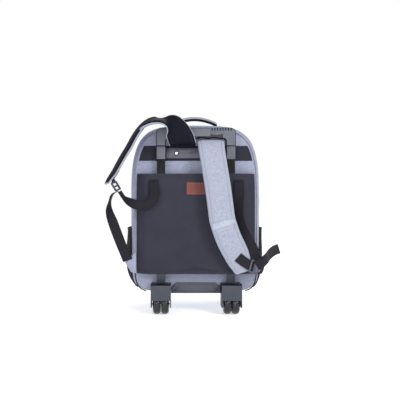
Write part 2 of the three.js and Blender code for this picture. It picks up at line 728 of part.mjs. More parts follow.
// An upright tube with rounded corners, open at both ends
function tube(x, width, depth, low, high) {
  const shape = roundedRectangle(new THREE.Shape(), width, depth, TUBE_CORNER, x, -TUBE_CENTRE_OUT);
  const innerCorner = TUBE_CORNER - TUBE_WALL;
  const bore = [width - 2 * TUBE_WALL, depth - 2 * TUBE_WALL];
  shape.holes.push(roundedRectangle(new THREE.Path(), ...bore, innerCorner, x, -TUBE_CENTRE_OUT));
  return column(shape, low, high);
}

function innerTube(x) {
  const shape = roundedRectangle(new THREE.Shape(), INNER_WIDTH, INNER_DEPTH, 1, x, -TUBE_CENTRE_OUT);
  return column(shape, TUBE_FOOT + 2 * STAGE_STEP, GRIP_FOOT - FIT);
}

function collar(x) {
  const shape = roundedRectangle(new THREE.Shape(), COLLAR_WIDTH, COLLAR_DEPTH, COLLAR_CORNER, x, -TUBE_CENTRE_OUT);
  const hole = roundedRectangle(
    new THREE.Path(),
    TUBE_WIDTH + 2 * FIT,
    TUBE_DEPTH + 2 * FIT,
    TUBE_CORNER,
    x,
    -TUBE_CENTRE_OUT,
  );
  shape.holes.push(hole);
  return column(shape, COLLAR_BOTTOM, COLLAR_TOP);
}

function rivetCentreZ() {
  return COLLAR_BOTTOM + COLLAR_HEIGHT / 2;
}

function bracketPlate() {
  const width = 2 * (TUBE_OFFSET - COLLAR_WIDTH / 2 - FIT);
  const back = -FIT - BAND_THICKNESS - FIT;
  const plate = box(width, PLATE_THICKNESS, PLATE_HEIGHT, 0, back - PLATE_THICKNESS / 2, rivetCentreZ());
  let solid = toSolid(plate);
  [-RIVET_OFFSET, RIVET_OFFSET].forEach((x) => {
    const reach = 4 * PLATE_THICKNESS;
    const hole = new THREE.CylinderGeometry(RIVET_SHANK_RADIUS + FIT, RIVET_SHANK_RADIUS + FIT, reach, 12);
    solid = solid.subtract(toSolid(hole.translate(x, back, rivetCentreZ())));
  });
  return toGeometry(solid);
}

// A domed head outside the plate, and a shank through it
function rivet(x) {
  const head = RIVET_HEAD_RADIUS;
  const shank = RIVET_SHANK_RADIUS;
  const profile = [
    new THREE.Vector2(0, -PLATE_THICKNESS),
    new THREE.Vector2(shank, -PLATE_THICKNESS),
    new THREE.Vector2(shank, 0),
    new THREE.Vector2(head, 0),
    new THREE.Vector2(head, RIVET_RIM * RIVET_HEAD_HEIGHT),
    new THREE.Vector2(RIVET_CROWN * head, 0.8 * RIVET_HEAD_HEIGHT),
    new THREE.Vector2(0, RIVET_HEAD_HEIGHT),
  ];
  const front = -3 * FIT - BAND_THICKNESS - PLATE_THICKNESS;
  return new THREE.LatheGeometry(profile, 12).rotateX(Math.PI).translate(x, front, rivetCentreZ());
}

// Grip

function gripShape() {
  const inner = GRIP_HALF_WIDTH - LEG_WIDTH;
  const corner = GRIP_CORNER;
  const bend = WINDOW_CORNER;
  const shape = new THREE.Shape();
  shape.moveTo(-GRIP_HALF_WIDTH, GRIP_FOOT);
  shape.lineTo(-inner, GRIP_FOOT);
  shape.lineTo(-inner, BAR_BOTTOM - bend);
  shape.absarc(-inner + bend, BAR_BOTTOM - bend, bend, Math.PI, Math.PI / 2, true);
  const reach = inner - 2 * bend;
  const steps = 4 * SCALLOPS;
  for (let i = 0; i <= steps; i += 1) {
    const rise = 0.5 - 0.5 * Math.cos((2 * Math.PI * SCALLOPS * i) / steps);
    shape.lineTo(-reach + (2 * reach * i) / steps, BAR_BOTTOM + SCALLOP_DEPTH * rise);
  }
  shape.absarc(inner - bend, BAR_BOTTOM - bend, bend, Math.PI / 2, 0, true);
  shape.lineTo(inner, GRIP_FOOT);
  shape.lineTo(GRIP_HALF_WIDTH, GRIP_FOOT);
  shape.lineTo(GRIP_HALF_WIDTH, GRIP_TOP - corner);
  shape.absarc(GRIP_HALF_WIDTH - corner, GRIP_TOP - corner, corner, 0, Math.PI / 2);
  shape.lineTo(-GRIP_HALF_WIDTH + corner, GRIP_TOP);
  shape.absarc(-GRIP_HALF_WIDTH + corner, GRIP_TOP - corner, corner, Math.PI / 2, Math.PI);
  return shape;
}

function grip() {
  const geometry = new THREE.ExtrudeGeometry(gripShape(), {
    depth: GRIP_DEPTH - 2 * GRIP_BEVEL,
    bevelEnabled: true,
    bevelThickness: GRIP_BEVEL,
    bevelSize: GRIP_BEVEL,
    bevelOffset: -GRIP_BEVEL,
    bevelSegments: 1,
    curveSegments: 5,
  });
  geometry.rotateX(Math.PI / 2).translate(0, GRIP_FRONT + GRIP_DEPTH - GRIP_BEVEL, 0);
  let solid = toSolid(geometry);
  for (let i = 0; i < GROOVES; i += 1) {
    const x = GROOVE_START + i * GROOVE_PITCH;
    const cut = box(
      GROOVE_WIDTH,
      2 * GROOVE_CUT,
      2 * GROOVE_LENGTH,
      x,
      GRIP_FRONT,
      GRIP_TOP,
    );
    solid = solid.subtract(toSolid(cut));
  }
  return toGeometry(solid);
}

function gripPlate() {
  const z = GRIP_TOP - BAR_HEIGHT / 2 + GRIP_PLATE_LIFT;
  const outline = new THREE.Shape();
  const shape = roundedRectangle(outline, GRIP_PLATE_WIDTH, GRIP_PLATE_HEIGHT, GRIP_PLATE_CORNER, 0, z);
  const far = GRIP_FRONT - FIT;
  return slab(shape, far - GRIP_PLATE_THICKNESS, far);
}

// Wheels, housings, base plate and feet

function wheelHousing(x) {
  const half = HOUSING_WIDTH / 2;
  const front = -FIT - HOUSING_DEPTH;
  const back = -FIT;
  const corner = HOUSING_CORNER;
  const side = new THREE.Shape();
  side.moveTo(back, HOUSING_TOP);
  side.lineTo(back, CHEEK_FOOT + corner);
  side.absarc(back - corner, CHEEK_FOOT + corner, corner, 0, -Math.PI / 2, true);
  side.lineTo(front + corner, CHEEK_FOOT);
  side.absarc(front + corner, CHEEK_FOOT + corner, corner, -Math.PI / 2, -Math.PI, true);
  side.lineTo(front, HOUSING_TOP - HOUSING_BEVEL);
  side.lineTo(front + HOUSING_BEVEL, HOUSING_TOP);
  const body = new THREE.ExtrudeGeometry(side, {
    depth: HOUSING_WIDTH,
    bevelEnabled: false,
    curveSegments: 3,
  });
  body.rotateX(Math.PI / 2).rotateZ(Math.PI / 2).translate(x - half, 0, 0);
  const roof = 2 * WHEEL_RADIUS + WHEEL_HEADROOM;
  const room = box(
    HOUSING_WIDTH - 2 * HOUSING_WALL,
    2 * HOUSING_DEPTH,
    roof,
    x,
    front + HOUSING_WALL + HOUSING_DEPTH,
    roof / 2,
  );
  const mouth = box(
    HOUSING_WIDTH - 2 * HOUSING_WALL,
    4 * HOUSING_WALL,
    FRONT_WALL_FOOT,
    x,
    front,
    FRONT_WALL_FOOT / 2,
  );
  const bore = new THREE.CylinderGeometry(AXLE_RADIUS + FIT, AXLE_RADIUS + FIT, 2 * HOUSING_WIDTH, 16);
  bore.rotateZ(Math.PI / 2).translate(x, -AXLE_OUT, WHEEL_RADIUS);
  const solid = toSolid(body).subtract(toSolid(room)).subtract(toSolid(mouth)).subtract(toSolid(bore));
  return toGeometry(solid);
}

function axle(x) {
  const length = HOUSING_WIDTH - 2 * FIT;
  const geometry = new THREE.CylinderGeometry(AXLE_RADIUS, AXLE_RADIUS, length, 16);
  return geometry.rotateZ(Math.PI / 2).translate(x, -AXLE_OUT, WHEEL_RADIUS);
}

// A turned wheel about its own axis, with a bore, a hub and a rounded tread
function wheelGeometry() {
  const bore = AXLE_RADIUS + SLIDE_GAP;
  const half = WHEEL_WIDTH / 2 - HUB_PROUD;
  const hubHalf = WHEEL_WIDTH / 2;
  const profile = [
    new THREE.Vector2(bore, -hubHalf),
    new THREE.Vector2(WHEEL_HUB_RADIUS, -hubHalf),
    new THREE.Vector2(WHEEL_HUB_RADIUS, -half),
    new THREE.Vector2(WHEEL_RADIUS - TREAD_ROUNDING, -half),
    new THREE.Vector2(WHEEL_RADIUS - TREAD_SHOULDER * TREAD_ROUNDING, TREAD_SHOULDER * TREAD_ROUNDING - half),
    new THREE.Vector2(WHEEL_RADIUS, TREAD_ROUNDING - half),
    new THREE.Vector2(WHEEL_RADIUS, half - TREAD_ROUNDING),
    new THREE.Vector2(WHEEL_RADIUS - TREAD_SHOULDER * TREAD_ROUNDING, half - TREAD_SHOULDER * TREAD_ROUNDING),
    new THREE.Vector2(WHEEL_RADIUS - TREAD_ROUNDING, half),
    new THREE.Vector2(WHEEL_HUB_RADIUS, half),
    new THREE.Vector2(WHEEL_HUB_RADIUS, hubHalf),
    new THREE.Vector2(bore, hubHalf),
    new THREE.Vector2(bore, -hubHalf),
  ];
  return new THREE.LatheGeometry(profile, 20).rotateZ(Math.PI / 2);
}

function basePlate() {
  const top = HOUSING_TOP;
  const low = top - BASE_HEIGHT;
  const back = -FIT;
  const plate = taperedPlate(BASE_HALF_WIDTH, low, top, BASE_CHAMFER);
  const edge = BASE_FACE_EDGE;
  const face = taperedPlate(BASE_HALF_WIDTH - 2 * edge, low + edge, top - edge, BASE_CHAMFER);
  const front = back - BASE_THICKNESS;
  const solid = toSolid(slabMirrored(plate, front, back));
  const raised = toSolid(slabMirrored(face, front - BASE_FACE_PROUD, front + 1));
  return toGeometry(solid.add(raised));
}

// A plate with its two upper corners cut off, drawn with z pointing down
function taperedPlate(halfWidth, low, top, chamfer) {
  const shape = new THREE.Shape();
  shape.moveTo(-halfWidth, -low);
  shape.lineTo(halfWidth, -low);
  shape.lineTo(halfWidth, -(top - chamfer));
  shape.lineTo(halfWidth - chamfer, -top);
  shape.lineTo(-halfWidth + chamfer, -top);
  shape.lineTo(-halfWidth, -(top - chamfer));
  return shape;
}

function foot(x) {
  const y = FOOT_DEPTH_SHARE * BAG_DEPTH;
  const height = BAG_FLOOR - FIT;
  const levels = [
    { z: 0, size: FOOT_TAPER },
    { z: height, size: 1 },
  ];
  const rings = levels.map((level) => {
    const halfX = (level.size * FOOT_WIDTH) / 2;
    const halfY = (level.size * FOOT_LENGTH) / 2;
    return [
      new THREE.Vector3(x - halfX, y - halfY, level.z),
      new THREE.Vector3(x + halfX, y - halfY, level.z),
      new THREE.Vector3(x + halfX, y + halfY, level.z),
      new THREE.Vector3(x - halfX, y + halfY, level.z),
    ];
  });
  return loft(rings);
}

// Cover panel, with what is sewn on it

// Soft folds: a low hump over the bottom hem and shallow waves down from the top
function panelFold(across, rise) {
  const hump = Math.exp(-(((across - HUMP_ACROSS) / HUMP_WIDTH) ** 2) - (rise / HUMP_HEIGHT) ** 2);
  const turn = 0.5 + 0.5 * Math.cos(WAVE_TURN * across + WAVE_LEAN * rise);
  const wave = WAVE_HEIGHT * turn * (1 - across ** 2);
  return PANEL_FOLD * (hump + wave * Math.sin(Math.PI * rise));
}

function coverPanel() {
  const columns = 20;
  const levels = 7;
  const rings = [];
  for (let j = 0; j <= levels; j += 1) {
    const rise = j / levels;
    const z = PANEL_BOTTOM + rise * PANEL_HEIGHT;
    const halfWidth = sideAt(0, z) - PANEL_EDGE;
    const near = [];
    const far = [];
    for (let i = 0; i <= columns; i += 1) {
      const across = Math.sin((Math.PI * (i / columns - 0.5)));
      const x = across * halfWidth;
      const inward = Math.min((halfWidth - Math.abs(x)) / PANEL_SLOPE, 1);
      const lift = Math.sin((inward * Math.PI) / 2);
      const base = FIT + lift * (-PANEL_INNER - FIT);
      const inner = -base - (inward < 1 ? 0 : panelFold(across, rise));
      near.push(new THREE.Vector3(x, inner, z));
      far.push(new THREE.Vector3(x, inner - PANEL_THICKNESS, z));
    }
    rings.push([...near, ...far.reverse()]);
  }
  return loft(rings);
}

function panelPatch(x, width, height, up, thickness) {
  const z = PANEL_BOTTOM + up * PANEL_HEIGHT;
  const rows = 4;
  const columns = 3;
  const rings = [];
  for (let j = 0; j <= rows; j += 1) {
    const level = z - height / 2 + (height * j) / rows;
    const rise = (level - PANEL_BOTTOM) / PANEL_HEIGHT;
    const halfWidth = sideAt(0, level) - PANEL_EDGE;
    const near = [];
    const far = [];
    for (let i = 0; i <= columns; i += 1) {
      const px = x - width / 2 + (width * i) / columns;
      const y = PANEL_FRONT - panelFold(px / halfWidth, rise) - FIT;
      near.push(new THREE.Vector3(px, y, level));
      far.push(new THREE.Vector3(px, y - thickness, level));
    }
    rings.push([...near, ...far.reverse()]);
  }
  return loft(rings);
}

// Straps and webbing

function place(row) {
  const x = row.across * BAG_HALF_WIDTH;
  const y = -row.out * STRAP_REACH;
  const z = BAG_FLOOR + row.up * BAG_HEIGHT;
  return new THREE.Vector3(x, y, z);
}

function route(rows, width, thickness) {
  return { rows, width, thickness, curve: new THREE.CatmullRomCurve3(rows.map(place)) };
}

// Place, directions and size of the band at a share of its route
function frameAt(path, along) {
  const { rows, curve } = path;
  const at = along * (rows.length - 1);
  const i = Math.min(Math.floor(at), rows.length - 2);
  const share = at - i;
  const mix = (a, b) => a + share * (b - a);
  const here = rows[i];
  const next = rows[i + 1];
  const tangent = curve.getTangent(along).normalize();
  const side = new THREE.Vector3(...here.side).lerp(new THREE.Vector3(...next.side), share);
  side.addScaledVector(tangent, -side.dot(tangent)).normalize();
  return {
    centre: curve.getPoint(along),
    tangent,
    side,
    face: new THREE.Vector3().crossVectors(tangent, side),
    width: path.width * mix(here.width ?? 1, next.width ?? 1),
    thickness: path.thickness * mix(here.thick ?? 1, next.thick ?? 1),
  };
}

function onFrame(frame, u, v) {
  return frame.centre.clone().addScaledVector(frame.side, u).addScaledVector(frame.face, v);
}

function padSection(frame) {
  const half = frame.width / 2;
  const depth = frame.thickness / 2;
  const shoulder = half - PAD_SLOPE * frame.thickness;
  return [
    onFrame(frame, half, -PAD_EDGE * depth),
    onFrame(frame, half, PAD_EDGE * depth),
    onFrame(frame, shoulder, depth),
    onFrame(frame, -shoulder, depth),
    onFrame(frame, -half, PAD_EDGE * depth),
    onFrame(frame, -half, -PAD_EDGE * depth),
    onFrame(frame, -shoulder, -depth),
    onFrame(frame, shoulder, -depth),
  ];
}

function flatSection(frame) {
  const half = frame.width / 2;
  const depth = frame.thickness / 2;
  return [
    onFrame(frame, half, -depth),
    onFrame(frame, half, depth),
    onFrame(frame, -half, depth),
    onFrame(frame, -half, -depth),
  ];
}

function band(path, section, steps) {
  const rings = [];
  for (let i = 0; i <= steps; i += 1) {
    rings.push(section(frameAt(path, i / steps)));
  }
  return loft(rings);
}

function webbing(rows, steps) {
  return band(route(rows, WEBBING_WIDTH, WEBBING_THICKNESS), flatSection, steps);
}

const leftStrap = route(LEFT_STRAP_ROWS, STRAP_WIDTH, STRAP_THICKNESS);
const rightStrap = route(RIGHT_STRAP_ROWS, STRAP_WIDTH, STRAP_THICKNESS);

// Lies on the outer face of a strap
function reflectiveStrip(path) {
  const steps = 3;
  const length = path.curve.getLength();
  const rings = [];
  for (let i = 0; i <= steps; i += 1) {
    const along = REFLECTIVE_ALONG + ((i / steps - 0.5) * REFLECTIVE_WIDTH) / length;
    const frame = frameAt(path, along);
    const half = frame.width / 2 - 0.6 * frame.thickness;
    const low = frame.thickness / 2 + FIT;
    const high = low + REFLECTIVE_THICKNESS;
    rings.push([
      onFrame(frame, half, low),
      onFrame(frame, -half, low),
      onFrame(frame, -half, high),
      onFrame(frame, half, high),
    ]);
  }
  return loft(rings);
}

// A buckle's place and directions: its bars run along bar, and the webbing runs along run
function lockAt(row, bar, run) {
  const along = new THREE.Vector3(...run).normalize();
  const across = new THREE.Vector3(...bar);
  across.addScaledVector(along, -across.dot(along)).normalize();
  return { centre: place(row), bar: across, run: along };
}

const leftLock = lockAt({ across: -1.29, out: 0.84, up: 0.645 }, [0.3, 1, 0.17], [0.5, 0, -0.86]);
const rightLock = lockAt({ across: 0.935, out: 0.74, up: 0.16 }, [0.3, 0, 1], [1, 0, -0.3]);

// A frame with two slots
function ladderLock(lock) {
  const shape = roundedRectangle(new THREE.Shape(), LOCK_WIDTH, LOCK_LENGTH, LOCK_CORNER);
  const slotWidth = LOCK_WIDTH - 2 * LOCK_BAR;
  const slotLength = (LOCK_LENGTH - 3 * LOCK_BAR) / 2;
  [-1, 1].forEach((sign) => {
    const y = (sign * (slotLength + LOCK_BAR)) / 2;
    shape.holes.push(roundedRectangle(new THREE.Path(), slotWidth, slotLength, SLOT_CORNER, 0, y));
  });
  const geometry = new THREE.ExtrudeGeometry(shape, {
    depth: LOCK_THICKNESS,
    bevelEnabled: false,
    curveSegments: 2,
  });
  geometry.translate(0, 0, -LOCK_THICKNESS / 2);
  const out = new THREE.Vector3().crossVectors(lock.bar, lock.run);
  geometry.applyMatrix4(new THREE.Matrix4().makeBasis(lock.bar, lock.run, out));
  return geometry.translate(lock.centre.x, lock.centre.y, lock.centre.z);
}

// A short tab sewn flat on a strap's outer face near its end, then run out to the buckle's near bar
function endTab(path, { start, run, drift }, lock) {
  const stations = [0, 0.5, 1].map((share) => {
    const frame = frameAt(path, start + share * run);
    const clear = frame.thickness / 2 + TAB_CLEARANCE + WEBBING_THICKNESS / 2;
    return { face: frame.face, centre: onFrame(frame, share * drift, clear) };
  });
  const direction = stations[2].centre.clone().sub(stations[0].centre).normalize();
  const out = new THREE.Vector3().crossVectors(lock.run, lock.bar).normalize();
  out.multiplyScalar(Math.sign(out.dot(stations[2].face)));
  const end = lock.centre.clone().addScaledVector(lock.run, -LOCK_LENGTH / 2 - FIT);
  const rings = stations.map(({ face, centre }) => {
    const side = new THREE.Vector3().crossVectors(face, direction).normalize();
    return flatSection({ centre, side, face, width: WEBBING_WIDTH, thickness: WEBBING_THICKNESS });
  });
  const side = new THREE.Vector3().crossVectors(out, lock.run);
  rings.push(
    flatSection({ centre: end, side, face: out, width: WEBBING_WIDTH, thickness: WEBBING_THICKNESS }),
  );
  return loft(rings);
}

// Materials

function material(color, roughness, metalness = 0) {
  return new THREE.MeshStandardMaterial({ color, roughness, metalness });
}

const COLOURS = {
  heather: { color: 0xa9afc6, roughness: 0.9 },
  nylon: { color: 0x3e3e4a, roughness: 0.75 },
  webbing: { color: 0x2c2c34, roughness: 0.85 },
  mesh: { color: 0x24242a, roughness: 0.95 },
  piping: { color: 0xb4b8c8, roughness: 0.6 },
  plastic: { color: 0x5c5f6c, roughness: 0.5 },
  darkPlastic: { color: 0x454b57, roughness: 0.5 },
  blackTube: { color: 0x1c1d22, roughness: 0.35, metalness: 0.4 },
  tyre: { color: 0x2a2a30, roughness: 0.3 },
  steel: { color: 0xc8cad0, roughness: 0.25, metalness: 1 },
  label: { color: 0x9c5644, roughness: 0.8 },
  reflective: { color: 0xc3ccdb, roughness: 0.4 },
};

const pack = new THREE.Group();
pack.position.set(0, BACK_PLANE, 0);

function add(name, geometry, look, parent = pack) {
  const { color, roughness, metalness } = COLOURS[look];
  const mesh = new THREE.Mesh(geometry, material(color, roughness, metalness));
  mesh.name = name;
  parent.add(mesh);
  return mesh;
}

add('back_shell', backShell(), 'heather');
add('front_shell', frontShell(), 'heather');
add('zip_tape', zipTape(), 'webbing');
add('zip_slider', zipSlider(), 'steel');
add('zip_pull', zipPull(), 'reflective');
add('seam_piping', seamPiping(), 'piping');
add('mesh_pocket_left', meshPocket(-1, POCKET_BULGE_LEFT), 'mesh');
add('mesh_pocket_right', meshPocket(1, POCKET_BULGE_RIGHT), 'mesh');
add('wing_left', wing(LEFT_WING_CORNERS), 'heather');
add('wing_right', wing(RIGHT_WING_CORNERS), 'heather');
add('haul_loop', haulLoop(), 'heather');
add('back_band', backBand(), 'webbing');
add('cover_panel', coverPanel(), 'nylon');
add('panel_label', panelPatch(0, LABEL_WIDTH, LABEL_HEIGHT, LABEL_UP, LABEL_THICKNESS), 'label');

[
  { side: 'left', sign: -1 },
  { side: 'right', sign: 1 },
].forEach(({ side, sign }) => {
  const x = sign * TUBE_OFFSET;
  const patch = panelPatch(sign * PATCH_OFFSET, PATCH_WIDTH, PATCH_HEIGHT, PATCH_UP, WEBBING_THICKNESS);
  add(`anchor_patch_${side}`, patch, 'webbing');
  add(`outer_tube_${side}`, tube(x, TUBE_WIDTH, TUBE_DEPTH, TUBE_FOOT, COLLAR_TOP), 'blackTube');
  const middle = tube(x, MIDDLE_WIDTH, MIDDLE_DEPTH, TUBE_FOOT + STAGE_STEP, COLLAR_TOP);
  add(`middle_tube_${side}`, middle, 'blackTube');
  add(`inner_tube_${side}`, innerTube(x), 'blackTube');
  add(`collar_${side}`, collar(x), 'plastic');
  add(`rivet_${side}`, rivet(sign * RIVET_OFFSET), 'steel');
  add(`wheel_housing_${side}`, wheelHousing(x), 'darkPlastic');
  add(`axle_${side}`, axle(x), 'steel');
  add(`foot_${side}`, foot(x), 'darkPlastic');
  add(`corner_binding_${side}`, cornerBinding(sign), 'webbing');
  [
    { place: 'outer', step: 1 },
    { place: 'inner', step: -1 },
  ].forEach((wheel) => {
    const shift = (sign * wheel.step * (WHEEL_WIDTH + WHEEL_GAP)) / 2;
    const mesh = add(`wheel_${side}_${wheel.place}`, wheelGeometry(), 'tyre');
    mesh.position.set(x + shift, -AXLE_OUT, WHEEL_RADIUS);
  });
});

add('bracket_plate', bracketPlate(), 'plastic');
add('grip', grip(), 'plastic');
add('grip_plate', gripPlate(), 'plastic');
add('base_plate', basePlate(), 'darkPlastic');

add('shoulder_strap_left', band(leftStrap, padSection, 40), 'heather');
add('shoulder_strap_right', band(rightStrap, padSection, 32), 'heather');
add('reflective_strip', reflectiveStrip(rightStrap), 'reflective');
add('end_tab_left', endTab(leftStrap, LEFT_TAB, leftLock), 'webbing');
add('end_tab_right', endTab(rightStrap, RIGHT_TAB, rightLock), 'webbing');
add('ladder_lock_left', ladderLock(leftLock), 'darkPlastic');
add('ladder_lock_right', ladderLock(rightLock), 'darkPlastic');
add('panel_webbing_left', webbing(LEFT_PANEL_WEBBING_ROWS, 21), 'webbing');
add('panel_webbing_right', webbing(RIGHT_PANEL_WEBBING_ROWS, 21), 'webbing');
add('lower_webbing_left', webbing(LEFT_LOWER_WEBBING_ROWS, 18), 'webbing');
add('lower_webbing_right', webbing(RIGHT_LOWER_WEBBING_ROWS, 9), 'webbing');
add('strap_tail_right', webbing(TAIL_ROWS, 15), 'webbing');

export default pack;
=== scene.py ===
import math

import bpy
import numpy as np
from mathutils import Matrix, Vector, noise


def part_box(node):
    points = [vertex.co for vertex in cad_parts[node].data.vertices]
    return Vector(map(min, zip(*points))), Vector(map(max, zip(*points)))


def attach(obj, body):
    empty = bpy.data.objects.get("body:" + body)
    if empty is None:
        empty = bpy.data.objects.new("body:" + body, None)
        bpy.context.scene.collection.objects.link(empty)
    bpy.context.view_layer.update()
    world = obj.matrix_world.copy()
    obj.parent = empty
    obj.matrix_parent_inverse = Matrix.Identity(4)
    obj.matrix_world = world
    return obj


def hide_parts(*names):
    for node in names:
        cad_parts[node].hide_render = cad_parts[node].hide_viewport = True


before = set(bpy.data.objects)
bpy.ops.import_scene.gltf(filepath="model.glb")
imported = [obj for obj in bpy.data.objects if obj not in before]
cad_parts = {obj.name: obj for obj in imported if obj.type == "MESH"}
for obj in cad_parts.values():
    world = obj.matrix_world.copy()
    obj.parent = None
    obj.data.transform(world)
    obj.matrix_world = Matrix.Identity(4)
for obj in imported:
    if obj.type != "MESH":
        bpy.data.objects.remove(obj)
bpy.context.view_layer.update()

MM = 0.001

# Bag, in millimetres: x across the back, y from the back panel to the front, z up
BACK_PLANE = -56.0
HALF_WIDTH = 153.0
BAG_HEIGHT = 409.0
BAG_FLOOR = 54.0
BAG_DEPTH = 185.0
SIDE_SWELL = 15.0
TOP_SWELL = 17.0
FRONT_SWELL = 9.0
CLOTH = 2.0
TOP_SQUARENESS = 4.0
FOOT_SQUARENESS = 10.0
BAG_MIDDLE = BAG_FLOOR + BAG_HEIGHT / 2
ZIP_START = 125.0
ZIP_WIDTH = 12.0
FIT = 0.3
SWELL_DEPTHS = (0.0, 0.03, 0.12, 0.36, 0.62, 0.86, 0.96, 1.0)
SWELLS = (0.0, 0.3, 0.72, 1.0, 1.0, 0.8, 0.45, 0.1)
FRONT_SIZES = (1.0, 0.985, 0.95, 0.8, 0.5, 0.15, 0.0)
FRONT_BULGES = (0.0, 0.2, 0.45, 0.8, 0.97, 1.0, 1.0)
PIPING_RADIUS = 1.5
PIPING_BACK = 0.6

# Cover panel
PANEL_BOTTOM = 99.5
PANEL_HEIGHT = 250.5
PANEL_EDGE = 3.5
PANEL_SLOPE = 27.0
PANEL_THICKNESS = 1.8
PANEL_INNER = -19.8
PANEL_FOLD = 3.0
PANEL_HEM = 8.0
PANEL_COLUMNS = 150
PANEL_ROWS = 130
PANEL_SOFTNESS = ((0.75, (85, 200, 120), 2.2), (0.3, (28, 200, 60), 9.1))
PANEL_END_IN, PANEL_SIDE_IN, PANEL_CORNER_IN = 6, 5, 4
TENT_ACROSS = 0.02
TENT_HALF_SPAN = 0.42
TENT_FOOT = 0.022
TENT_RISE = 0.05
TENT_LIFT = 4.5
TENT_CURVE = 1.15
TENT_FADE = 0.05
TENT_UNDERCUT = 0.016
TENT_HEM = 0.012

# Straps and webbing
STRAP_REACH = 60.0
STRAP_WIDTH = 65.0
STRAP_THICKNESS = 11.0
WEBBING_WIDTH = 25.0
WEBBING_THICKNESS = 1.6
SEAM_IN = 7.0
STRAP_EASE = 20
STRAP_STATIONS = 300
STRAP_AROUND = 76
STRAP_PIPING = 1.25
STRAP_SOFTNESS = ((0.55, (34, 34, 34), 4.4), (0.3, (13, 13, 13), 8.8))
STRAP_EDGE, STRAP_FACE = 0.42, 0.72
STRAP_CALM = 40
SEAM_REACH = 1.6
SEAM_DEPTH = 0.2
TAPE_AT = 0.6
TAPE_HALF = 6.5
TAIL_HEM = 7

# Routes: across (share of half width), out (share of the reach), up (share of the bag's height),
# direction of the width, and for the straps the shares of their width and thickness
RIGHT_STRAP = (
    (0.248, 0.043, 0.918, (1, 0, 0), 1.0, 0.3),
    (0.243, 0.24, 0.919, (1, 0, 0), 1.0, 0.6),
    (0.24, 0.5, 0.914, (1, 0, 0), 1.0, 0.85),
    (0.25, 0.7, 0.86, (1, 0, 0), 0.97, 1.0),
    (0.28, 0.77, 0.79, (1, 0, 0), 0.95, 1.0),
    (0.306, 0.82, 0.723, (1, 0, 0), 0.95, 1.0),
    (0.341, 0.88, 0.641, (1, 0, 0), 0.95, 1.0),
    (0.386, 0.93, 0.51, (1, 0, 0), 0.95, 1.0),
    (0.41, 0.93, 0.445, (1, 0, 0), 0.95, 1.0),
    (0.457, 0.9, 0.388, (1, 0, 0), 0.95, 1.0),
    (0.516, 0.85, 0.33, (1, 0, 0.1), 0.95, 1.0),
    (0.582, 0.78, 0.28, (1, 0, 0.3), 0.95, 0.95),
    (0.651, 0.71, 0.23, (1, 0, 0.4), 0.92, 0.9),
    (0.7, 0.65, 0.187, (1, 0, 0.5), 0.85, 0.75),
    (0.752, 0.6, 0.125, (1, 0, 0.6), 0.55, 0.5),
)
LEFT_STRAP = (
    (-0.209, 0.05, 0.899, (1, 0, 0), 1.0, 0.3),
    (-0.211, 0.24, 0.9, (1, 0, 0), 1.0, 0.5),
    (-0.22, 0.52, 0.907, (1, 0, 0), 1.0, 0.6),
    (-0.262, 0.64, 0.945, (1, 0.05, 0.15), 0.98, 0.6),
    (-0.35, 0.745, 0.995, (0.88, 0.4, 0.2), 0.95, 0.6),
    (-0.46, 0.885, 1.026, (0.55, 0.78, 0.25), 0.95, 0.75),
    (-0.59, 0.915, 1.034, (0.18, 0.94, 0.25), 0.95, 0.9),
    (-0.716, 0.82, 1.032, (0, 0.95, 0.28), 0.95, 1.0),
    (-0.841, 0.533, 1.018, (-0.1, 0.96, 0.25), 0.95, 1.0),
    (-0.938, 0.433, 0.982, (-0.2, 0.97, 0.15), 0.95, 1.0),
    (-1.011, 0.42, 0.94, (-0.22, 0.97, 0.13), 0.95, 1.0),
    (-1.088, 0.45, 0.885, (-0.22, 0.97, 0.13), 0.95, 1.0),
    (-1.175, 0.52, 0.83, (-0.22, 0.97, 0.13), 0.95, 1.0),
    (-1.254, 0.62, 0.775, (-0.22, 0.97, 0.13), 0.92, 0.95),
    (-1.323, 0.72, 0.726, (-0.22, 0.97, 0.13), 0.85, 0.9),
    (-1.392, 0.8, 0.687, (-0.22, 0.97, 0.13), 0.72, 0.75),
    (-1.438, 0.86, 0.66, (-0.22, 0.97, 0.13), 0.5, 0.5),
)
PANEL_WEBBING_RIGHT = (
    (0.697, 0.425, 0.672, (1, 0, 0)),
    (0.695, 0.47, 0.61, (1, 0, 0)),
    (0.685, 0.58, 0.534, (0.85, -0.5, 0)),
    (0.692, 0.64, 0.459, (0.8, -0.6, 0)),
    (0.745, 0.63, 0.393, (0.9, -0.45, 0.2)),
    (0.84, 0.62, 0.318, (1, -0.2, 0.3)),
    (0.935, 0.65, 0.25, (1, 0, 0.3)),
    (0.965, 0.685, 0.19, (1, 0, 0.3)),
)
PANEL_WEBBING_LEFT = (
    (-0.7, 0.425, 0.672, (1, 0, 0)),
    (-0.675, 0.48, 0.618, (1, 0, 0.1)),
    (-0.69, 0.55, 0.57, (0.85, 0, -0.45)),
    (-0.78, 0.59, 0.538, (0.4, 0, -0.9)),
    (-0.9, 0.68, 0.53, (0, 0, -1)),
    (-1.03, 0.77, 0.543, (0.1, -0.35, -0.95)),
    (-1.15, 0.83, 0.57, (0.1, -0.8, -0.6)),
    (-1.232, 0.84, 0.6145, (-0.3, -1, -0.12)),
)
LOWER_WEBBING_RIGHT = (
    (1.032, 0.74, 0.148, (0.3, 0, 1)),
    (1.062, 0.67, 0.148, (0.25, 0, 1)),
    (1.082, 0.5, 0.155, (0.1, 0, 1)),
    (1.12, 0.15, 0.172, (0, 0, 1)),
)
